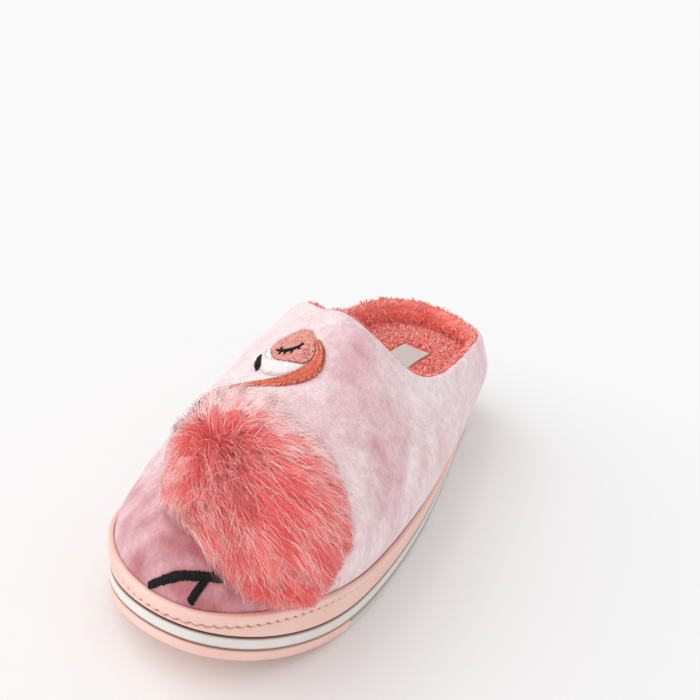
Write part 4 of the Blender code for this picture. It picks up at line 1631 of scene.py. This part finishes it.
@dataclass
class Pompom:
    """A patch of long fur on the vamp: an undercoat, and strands in tufts that fall from its crown.

    Its edge is a turn in degrees, 0 to the outer side and 90 to the collar, with its reach at each turn.
    """

    last: Last
    around: float = 0.486
    up: float = 0.430
    half_around: float = 0.068
    half_up: float = 0.262
    lean: float = 0.026
    height: float = 0.0155
    middle: tuple[float, float] = (-0.10, -0.05)
    edge: tuple[tuple[float, float], ...] = (
        (0.0, 0.83), (36.0, 1.25), (68.0, 1.26), (122.0, 1.26), (165.0, 0.99), (208.0, 0.98), (236.0, 1.10),
        (259.0, 1.32), (281.0, 1.02), (302.0, 0.57), (330.0, 0.78))
    crown: tuple[float, float] = (0.15, 0.44)
    root_share: float = 0.68
    fall: float = 0.46
    undercoat_share: float = 0.78
    tufts: int = 460
    strands: int = 30000
    pieces: int = 3
    stray_share: float = 0.18
    half_width: float = 0.00012
    edge_fade: float = 1.03
    edge_power: float = 0.68
    undercoat_reach: float = 0.88
    undercoat_lift: float = 0.0004
    gravity: tuple[float, float] = (0.0, -0.30)
    tuft_scatter: float = 0.02
    way_scatter: float = 0.24
    root_scatter: float = 0.056
    tip_scatter: float = 0.028
    stray_scatter: float = 0.15
    stray_reach: float = 0.17
    lit_way: tuple[float, float] = (0.4, 0.9)
    tuft_lengths: tuple[float, float] = (0.72, 1.25)
    tuft_lifts: tuple[float, float] = (0.74, 1.10)
    own_lengths: tuple[float, float] = (0.72, 1.12)
    own_lifts: tuple[float, float] = (0.82, 1.10)
    own_widths: tuple[float, float] = (0.8, 1.25)
    own_limits: tuple[float, float] = (0.86, 1.05)
    seed: int = 21

    def place(self, disc: np.ndarray, height: np.ndarray) -> np.ndarray:
        """Points over the upper.

        Args:
            disc: Places on the disc of the solid pompom, its half sizes as units.
            height: Height off the velour.

        Returns:
            Points in space.
        """
        around = self.around + self.half_around * disc[:, 0] + self.lean * disc[:, 1]
        up = np.clip(self.up + self.half_up * disc[:, 1], 0.012, 1.0)
        points, normal, _ = self.last.wall_frame(around, up)
        return points + normal * np.asarray(height)[:, None]

    def edge_at(self, places: np.ndarray) -> np.ndarray:
        """The patch's reach on the disc, in the direction of each place from its middle."""
        turns, reaches = np.array(self.edge).T
        at = np.arctan2(places[:, 1], places[:, 0]) / (2.0 * math.pi)
        return closed_spline(np.append(turns / 360.0, 1.0), reaches[:, None], np.mod(at, 1.0))[:, 0]

    def on_patch(self, shares: np.ndarray) -> np.ndarray:
        """Places on the disc of shares of the patch, 1 at its edge."""
        return np.array(self.middle) + shares * self.edge_at(shares)[:, None]

    def reach(self, disc: np.ndarray) -> np.ndarray:
        """How far out of the patch's middle places are, 1 at its edge."""
        offset = disc - np.array(self.middle)
        return np.linalg.norm(offset, axis=1) / self.edge_at(offset)

    def dome(self, reach: np.ndarray) -> np.ndarray:
        """Height of the fur's mass at a reach from the patch's middle."""
        return self.height * np.clip(1.0 - (reach / self.edge_fade) ** 2, 0.0, 1.0) ** self.edge_power

    def build_undercoat(self) -> None:
        """The dense short fur under the strands, a dome whose foot lies on the velour."""
        spokes, rows = 96, 20
        turns = 2.0 * np.pi * np.arange(spokes) / spokes
        circle = np.column_stack([np.cos(turns), np.sin(turns)])
        foot = np.full(spokes, self.undercoat_lift)
        rings = [self.place(self.on_patch(reach * circle), foot)
                 for reach in (0.2, 0.5, self.undercoat_reach)]
        for turn in 0.5 * math.pi * np.linspace(0.03, 1.0, rows):
            reach = self.undercoat_reach * math.cos(turn)
            level = self.undercoat_share * self.dome(np.full(spokes, reach)) * math.sin(turn) ** 0.6
            rings.append(self.place(self.on_patch(reach * circle), foot + level))
        mesh = lofted(np.array(rings), Ends.CAPPED)
        add_piece("pompom_undercoat", mesh_data(mesh, self.last.shift), UNDERCOAT, ("pompom",))

    def build_strands(self) -> None:
        """The long fur, in tufts that share a lean and draw together to their tips."""
        rng = np.random.default_rng(self.seed)
        number = np.arange(self.tufts)
        reach = self.root_share * np.sqrt((number + 0.5) / self.tufts)
        angle = number * math.pi * (3.0 - math.sqrt(5.0))
        tufts = self.on_patch(reach[:, None] * np.column_stack([np.cos(angle), np.sin(angle)]))
        tufts += rng.normal(scale=self.tuft_scatter, size=tufts.shape)
        away = tufts - np.array(self.crown)
        scatter = rng.normal(scale=self.way_scatter, size=tufts.shape)
        flow = unit(unit(away) + scatter + np.array(self.gravity))
        stretch = self.fall * rng.uniform(*self.tuft_lengths, self.tufts)
        stretch *= 0.62 + 0.38 * soft_step(np.linalg.norm(away, axis=1), 0.05, 0.7)
        lift = rng.uniform(*self.tuft_lifts, self.tufts)
        tone = rng.random(self.tufts)

        count = self.strands
        owner = rng.integers(0, self.tufts, count)
        stray = rng.random(count) < self.stray_share
        roots = tufts[owner] + rng.normal(scale=self.root_scatter, size=(count, 2))
        scatter = np.where(stray, self.stray_scatter, self.tip_scatter)[:, None]
        length = stretch[owner] * rng.uniform(*self.own_lengths, count) * np.where(stray, 1.15, 1.0)
        tips = tufts[owner] + flow[owner] * length[:, None] + rng.normal(size=(count, 2)) * scatter
        tip_reach = self.reach(tips)
        limit = rng.uniform(*self.own_limits, count)
        limit += np.where(stray, rng.uniform(0.0, self.stray_reach, count), 0.0)
        centre = np.array(self.middle)
        tips = centre + (tips - centre) * np.minimum(1.0, limit / tip_reach)[:, None]
        own_lift = lift[owner] * rng.uniform(*self.own_lifts, count) * np.where(stray, 1.08, 1.0)
        root_dome = self.dome(self.reach(roots))
        tip_height = (0.90 * self.dome(self.reach(tips)) + 0.0010) * own_lift
        tip_height += rng.uniform(0.0, 0.0018, count)
        start = self.place(roots, 0.0006 + 0.82 * self.undercoat_share * root_dome)
        middle = self.place(roots * 0.60 + tips * 0.40, (1.10 * root_dome + 0.0038) * own_lift)
        end = self.place(tips, tip_height)
        steps = np.array([0.0, 0.36, 0.70, 1.0])[None, :, None]
        paths = ((1.0 - steps) ** 2 * start[:, None] + 2.0 * steps * (1.0 - steps) * middle[:, None]
                 + steps ** 2 * end[:, None])
        own_width = self.half_width * rng.uniform(*self.own_widths, count) * np.where(stray, 0.8, 1.0)
        widths = own_width[:, None] * np.array([1.0, 0.95, 0.7, 0.0])
        tip_reach = np.minimum(tip_reach, limit)
        # painted highlight: tips at the edge paler on the lit side, painted shade a little darker on the far
        # side
        lit = unit(tips - centre) @ np.array(self.lit_way)
        tints = 0.36 + 0.62 * tone[owner] + rng.uniform(-0.08, 0.08, count)
        tints += 0.24 * (1.0 - soft_step(tip_reach, 0.25, 0.85))
        tints -= soft_step(tip_reach, 0.45, 0.95) * (0.38 + 0.52 * lit)
        tints = np.clip(tints, 0.0, 1.0) * np.where(stray, 0.4, 1.0)
        share = count // self.pieces
        for piece in range(self.pieces):
            own = slice(piece * share, (piece + 1) * share)
            data = strand_data(paths[own], widths[own], tints[own], self.last.shift)
            add_piece("pompom_fur_%d" % (piece + 1), data, FUR)

    def build(self) -> None:
        """Build the pompom's pieces."""
        self.build_undercoat()
        self.build_strands()


# Embroidery


@dataclass(frozen=True)
class Stroke:
    """A stroke of satin stitch: a line in the chart's millimetres, with its half width at each point."""

    points: tuple[tuple[float, float, float], ...]

    def line(self) -> tuple[np.ndarray, np.ndarray]:
        """The stroke's points in metres, and how far along it each one lies."""
        marks = np.array(self.points) * MILLIMETRE
        apart = np.linalg.norm(np.diff(marks[:, :2], axis=0), axis=1)
        return marks, np.append(0.0, np.cumsum(apart))


@dataclass
class Chart:
    """A flat drawing board on the upper, in metres, X to the inner side and Y to the collar."""

    last: Last
    around: float
    up: float

    def __post_init__(self) -> None:
        """Take the board's directions from the upper at its anchor."""
        points, normals, _ = self.last.wall_frame(np.array([self.around]), np.array([self.up]))
        self.origin, normal = points[0], normals[0]
        self.across = unit(np.array([1.0, 0.0, 0.0]) - normal[0] * normal)
        self.rise = np.cross(normal, self.across)

    def lay(self, plan: np.ndarray, height: np.ndarray) -> tuple[np.ndarray, np.ndarray]:
        """Points on the upper under places of the board.

        Args:
            plan: Places on the board, in metres.
            height: Height off the velour.

        Returns:
            Points in space, and the normals there.
        """
        around = np.full(len(plan), self.around)
        up = np.full(len(plan), self.up)
        step = 1e-4

        def miss(at: np.ndarray, rise: np.ndarray) -> np.ndarray:
            """How far each point still is from its place."""
            offset = self.last.surface(at, rise) - self.origin
            return np.column_stack([offset @ self.across, offset @ self.rise]) - plan

        for _ in range(7):
            here = miss(around, up)
            slope_around = (miss(around + step, up) - here) / step
            slope_up = (miss(around, up + step) - here) / step
            scale = slope_around[:, 0] * slope_up[:, 1] - slope_around[:, 1] * slope_up[:, 0]
            around = around - (here[:, 0] * slope_up[:, 1] - here[:, 1] * slope_up[:, 0]) / scale
            up = up - (here[:, 1] * slope_around[:, 0] - here[:, 0] * slope_around[:, 1]) / scale
        points, normal, _ = self.last.wall_frame(around, up)
        return points + normal * np.asarray(height)[:, None], normal


@dataclass
class Embroidery:
    """Satin and loop stitches on the velour: a sleeping bird's head over the pompom, its feet under it."""

    last: Last
    head_at: tuple[float, float] = (0.525, 0.860)
    feet_at: tuple[float, float] = (0.480, 0.173)
    clear: float = 0.0001
    lash_lift: float = 0.0008
    thread: float = 0.00022
    pitch: float = 0.00034
    padding: float = 0.0007
    slant: float = 0.25
    loops: int = 2300
    loop_height: float = 0.0007
    loop_reach: tuple[float, float] = (0.0007, 0.0011)
    loop_half_width: tuple[float, float] = (0.00020, 0.00028)
    neck_loops: int = 800
    neck_loop_size: float = 1.35
    loop_seed: int = 33
    head_seed: int = 34
    neck_seed: int = 35
    neck: Stroke = Stroke(((-19.0, -16.6, 0.25), (-10.0, -16.0, 0.7), (0.0, -15.3, 1.9), (6.5, -12.8, 2.8),
                           (10.8, -7.0, 3.0), (11.4, -1.0, 2.2), (10.0, 4.0, 1.5), (6.8, 8.6, 0.9)))
    cheek: Stroke = Stroke(((-16.6, 7.4, 1.4), (-13.8, 1.6, 2.7), (-8.0, -4.2, 3.7), (-1.0, -7.0, 4.2),
                            (5.0, -7.0, 3.0), (8.0, -5.2, 0.8)))
    beak: Stroke = Stroke(((-18.0, 3.8, 0.9), (-16.0, 0.2, 2.2), (-14.2, -3.0, 2.2), (-12.9, -6.8, 0.5)))
    lashes: tuple[Stroke, ...] = (
        Stroke(((-9.6, 4.4, 0.35), (-6.0, 3.2, 0.75), (-2.0, 3.2, 0.85), (1.0, 4.8, 0.6), (2.2, 6.4, 0.35))),
        Stroke(((-7.2, 3.8, 0.5), (-8.0, 5.6, 0.3))),
        Stroke(((-6.4, 3.4, 0.55), (-6.6, 1.2, 0.3))),
        Stroke(((-3.8, 3.2, 0.6), (-3.6, 0.7, 0.3))),
        Stroke(((-1.2, 3.6, 0.6), (-0.4, 1.2, 0.3))),
        Stroke(((0.6, 4.8, 0.5), (2.2, 3.2, 0.3))),
    )
    feet: tuple[Stroke, ...] = (
        Stroke(((-15.8, -6.8, 1.2), (-12.0, -3.4, 1.5), (-8.2, -0.6, 1.6), (-2.6, 1.6, 1.6),
                (4.6, 3.4, 1.3))),
        Stroke(((0.0, 1.6, 1.2), (-1.2, -2.4, 1.4), (-2.0, -6.6, 1.3))),
        Stroke(((-0.6, 8.6, 0.7), (1.8, 3.6, 1.0))),
    )
    head: tuple[tuple[float, float], ...] = (
        (-15.2, 8.4), (-14.6, 12.0), (-10.4, 15.8), (-4.6, 17.0), (1.4, 14.4), (6.6, 8.8), (9.0, 3.4),
        (9.2, -1.6), (7.0, -3.6), (0.0, -2.9), (-6.2, -1.4), (-10.6, 2.2))

    def satin(self, name: str, chart: Chart, strokes: Sequence[Stroke], finish: Cloth,
              lift: float = 0.0) -> None:
        """Threads laid side by side across strokes, each bowed over its padding.

        Args:
            name: The piece's name.
            chart: The board that the strokes are drawn on.
            strokes: The strokes.
            finish: The thread.
            lift: Height of the threads' ends off the velour, past what all stitches have.
        """
        rng = np.random.default_rng(len(name))
        places, heights = [], []
        across = np.linspace(-1.0, 1.0, 7)
        for stroke in strokes:
            marks, knots = stroke.line()
            count = max(3, int(knots[-1] / self.pitch))
            at = np.linspace(0.0, knots[-1], count)
            line = smooth_line(knots, marks, at)
            heading = unit(np.gradient(line[:, :2], axis=0))
            side = np.column_stack([-heading[:, 1], heading[:, 0]]) + self.slant * heading
            half = line[:, 2] * rng.uniform(0.86, 1.12, count)
            plan = line[:, None, :2] + side[:, None] * (half[:, None] * across)[..., None]
            bow = self.padding * np.clip(half / 0.0015, 0.45, 1.2)[:, None] * (1.0 - across ** 2) ** 0.5
            places.append(plan)
            heights.append(bow + (self.clear + lift))
        plan = np.concatenate(places)
        bow = np.concatenate(heights)
        points, _ = chart.lay(plan.reshape(-1, 2), bow.reshape(-1))
        paths = points.reshape(len(plan), len(across), 3)
        widths = np.full(paths.shape[:2], self.thread) * np.array([0.7, 1.0, 1.0, 1.0, 1.0, 0.9, 0.0])
        data = strand_data(paths, widths, rng.random(len(plan)), self.last.shift, 5)
        add_piece(name, data, finish)

    def loops_on(self, name: str, chart: Chart, plan: np.ndarray, turn: np.ndarray, size: float,
                 finish: Cloth) -> None:
        """Short loops of thread that stand on the velour like towelling.

        Args:
            name: The piece's name.
            chart: The board that they are drawn on.
            plan: Where each one stands, in metres.
            turn: Which way each one runs.
            size: Their size, 1 for the head's.
            finish: The thread.
        """
        rng = np.random.default_rng(self.loop_seed)
        heading = np.column_stack([np.cos(turn), np.sin(turn)])
        reach = size * rng.uniform(*self.loop_reach, len(plan))
        places, heights = [], []
        for share in (-0.5, -0.2, 0.2, 0.5):
            places.append(plan + heading * (reach * share)[:, None])
            rise = size * self.loop_height * math.cos(math.pi * share) ** 0.7
            heights.append(np.full(len(plan), self.clear + rise))
        points, _ = chart.lay(np.concatenate(places), np.concatenate(heights))
        paths = points.reshape(4, len(plan), 3).transpose(1, 0, 2)
        own_width = size * rng.uniform(*self.loop_half_width, len(plan))
        widths = own_width[:, None] * np.array([0.9, 1.0, 0.9, 0.0])
        data = strand_data(paths, widths, rng.random(len(plan)), self.last.shift)
        add_piece(name, data, finish)

    def build_head(self, chart: Chart) -> None:
        """The head's towelling."""
        rng = np.random.default_rng(self.head_seed)
        border = np.array(self.head) * MILLIMETRE
        low, high = border.min(axis=0), border.max(axis=0)
        plan = low + rng.random((self.loops * 4, 2)) * (high - low)
        plan = plan[inside_outline(plan, border)][:self.loops]
        self.loops_on("bird_head", chart, plan, 0.6 + rng.normal(scale=0.5, size=len(plan)), 1.0, TOWELLING)

    def build_neck(self, chart: Chart) -> None:
        """The neck's slanting rows of heavier loops, thinning out to its end, over a bed of satin."""
        rng = np.random.default_rng(self.neck_seed)
        marks, knots = self.neck.line()
        at = knots[-1] * rng.random(self.neck_loops) ** 0.75
        line = smooth_line(knots, marks, at)
        ahead = smooth_line(knots, marks, np.minimum(at + 1e-5, knots[-1])) - line
        heading = np.arctan2(ahead[:, 1], ahead[:, 0])
        side = np.column_stack([-np.sin(heading), np.cos(heading)])
        row = np.rint(rng.uniform(-2.0, 2.0, self.neck_loops)) / 2.0
        plan = line[:, :2] + side * (line[:, 2] * row * 0.9)[:, None]
        turn = heading + 0.9 * np.where(np.rint(row * 2.0) % 2 == 0, 1.0, -1.0)
        self.loops_on("bird_neck", chart, plan, turn, self.neck_loop_size, CORAL_THREAD)

    def build(self) -> None:
        """Build the stitched pieces."""
        head = Chart(self.last, *self.head_at)
        feet = Chart(self.last, *self.feet_at)
        self.build_head(head)
        self.build_neck(head)
        self.satin("bird_neck_bed", head, (self.neck,), CORAL_BED)
        self.satin("bird_cheek", head, (self.cheek,), WHITE_THREAD)
        self.satin("bird_beak", head, (self.beak,), BLACK_THREAD)
        self.satin("bird_lashes", head, self.lashes, BLACK_THREAD, self.lash_lift)
        self.satin("bird_feet", feet, self.feet, BLACK_THREAD)


def smooth_line(knots: np.ndarray, marks: np.ndarray, at: np.ndarray) -> np.ndarray:
    """A smooth line through marks.

    Args:
        knots: Place of each mark along the line.
        marks: One row for each mark.
        at: Where to read the line.

    Returns:
        One row for each place.
    """
    slopes = np.gradient(marks, knots, axis=0)
    span = np.clip(np.searchsorted(knots, at, side="right") - 1, 0, len(knots) - 2)
    width = (knots[span + 1] - knots[span])[:, None]
    share = (at - knots[span])[:, None] / width
    start = (1.0 + 2.0 * share) * (1.0 - share) ** 2
    leave = share * (1.0 - share) ** 2
    end = share ** 2 * (3.0 - 2.0 * share)
    arrive = share ** 2 * (share - 1.0)
    return (start * marks[span] + leave * width * slopes[span] + end * marks[span + 1]
            + arrive * width * slopes[span + 1])


def inside_outline(places: np.ndarray, border: np.ndarray) -> np.ndarray:
    """Whether each place lies inside a closed outline.

    Args:
        places: Places, one row each.
        border: The outline's corners in order.

    Returns:
        True where a place is inside.
    """
    result = np.zeros(len(places), bool)
    for here, ahead in zip(border, np.roll(border, -1, axis=0)):
        crosses = (here[1] > places[:, 1]) != (ahead[1] > places[:, 1])
        at = here[0] + (places[:, 1] - here[1]) * (ahead[0] - here[0]) / (ahead[1] - here[1] + 1e-15)
        result ^= crosses & (places[:, 0] < at)
    return result


# Studio


@dataclass(frozen=True)
class SoftSun:
    """A wide soft light that falls evenly over slipper and floor."""

    name: str
    way: tuple[float, float, float]
    spread: float
    strength: float


@dataclass
class Studio:
    """Pale floor, soft light, and the camera at the photo's angle."""

    azimuth: float = 20.02
    elevation: float = 25.25
    roll: float = 9.78
    distance: float = 0.4418
    target: tuple[float, float, float] = (-0.01563, 0.04181, 0.04841)
    focal_pixels: float = 997.45
    image_pixels: float = 700.0
    sensor: float = 36.0
    clip: tuple[float, float] = (0.01, 100.0)
    floor_size: float = 40.0
    sky: float = 0.67
    lights: tuple[SoftSun, ...] = (
        SoftSun("key", (-0.74, -0.34, 0.70), 80.0, 1.28),
        SoftSun("fill", (0.50, -0.65, 0.62), 100.0, 0.46),
    )

    def build_floor(self) -> None:
        """A plain pale floor."""
        mesh = bmesh.new()
        bmesh.ops.create_grid(mesh, x_segments=1, y_segments=1, size=self.floor_size / 2.0)
        floor = new_object("floor", mesh)
        floor.data.materials.append(PALE_FLOOR.material())

    def build_lights(self) -> None:
        """Soft suns from the upper left and the front, and an even pale sky."""
        for sun in self.lights:
            lamp = bpy.data.lights.new(sun.name, "SUN")
            lamp.angle = math.radians(sun.spread)
            lamp.energy = sun.strength
            new_object(sun.name, lamp).rotation_euler = Vector(sun.way).to_track_quat("Z", "Y").to_euler()
        world = bpy.data.worlds.new("studio")
        world.use_nodes = True
        back = world.node_tree.nodes["Background"]
        back.inputs["Color"].default_value = (1.0, 1.0, 1.0, 1.0)
        back.inputs["Strength"].default_value = self.sky
        bpy.context.scene.world = world

    def build_camera(self) -> None:
        """The camera, rolled as the photo's."""
        azimuth, elevation, roll = (math.radians(turn) for turn in (self.azimuth, self.elevation, self.roll))
        back = Vector((math.sin(azimuth) * math.cos(elevation), -math.cos(azimuth) * math.cos(elevation),
                       math.sin(elevation)))
        level = Vector((math.cos(azimuth), math.sin(azimuth), 0.0))
        upright = back.cross(level)
        right = math.cos(roll) * level + math.sin(roll) * upright
        upward = -math.sin(roll) * level + math.cos(roll) * upright
        place = Matrix((right, upward, back)).transposed().to_4x4()
        place.translation = Vector(self.target) + back * self.distance
        lens = bpy.data.cameras.new("camera")
        lens.sensor_width = self.sensor
        lens.lens = self.focal_pixels / self.image_pixels * self.sensor
        lens.clip_start, lens.clip_end = self.clip
        camera = new_object("camera", lens)
        camera.matrix_world = place
        bpy.context.scene.camera = camera

    def build(self) -> None:
        """Build the studio."""
        self.build_floor()
        self.build_lights()
        self.build_camera()
        bpy.context.scene.view_settings.view_transform = "Standard"


def main() -> None:
    """Dress the slipper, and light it."""
    logging.basicConfig(level=logging.INFO, format="%(name)s: %(message)s")
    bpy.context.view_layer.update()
    last = Last()
    Studio().build()
    Upper(last).build()
    Footbed(last).build()
    Sole(last).build()
    Pompom(last).build()
    Embroidery(last).build()
    bpy.context.view_layer.update()


if __name__ == "__main__":
    main()
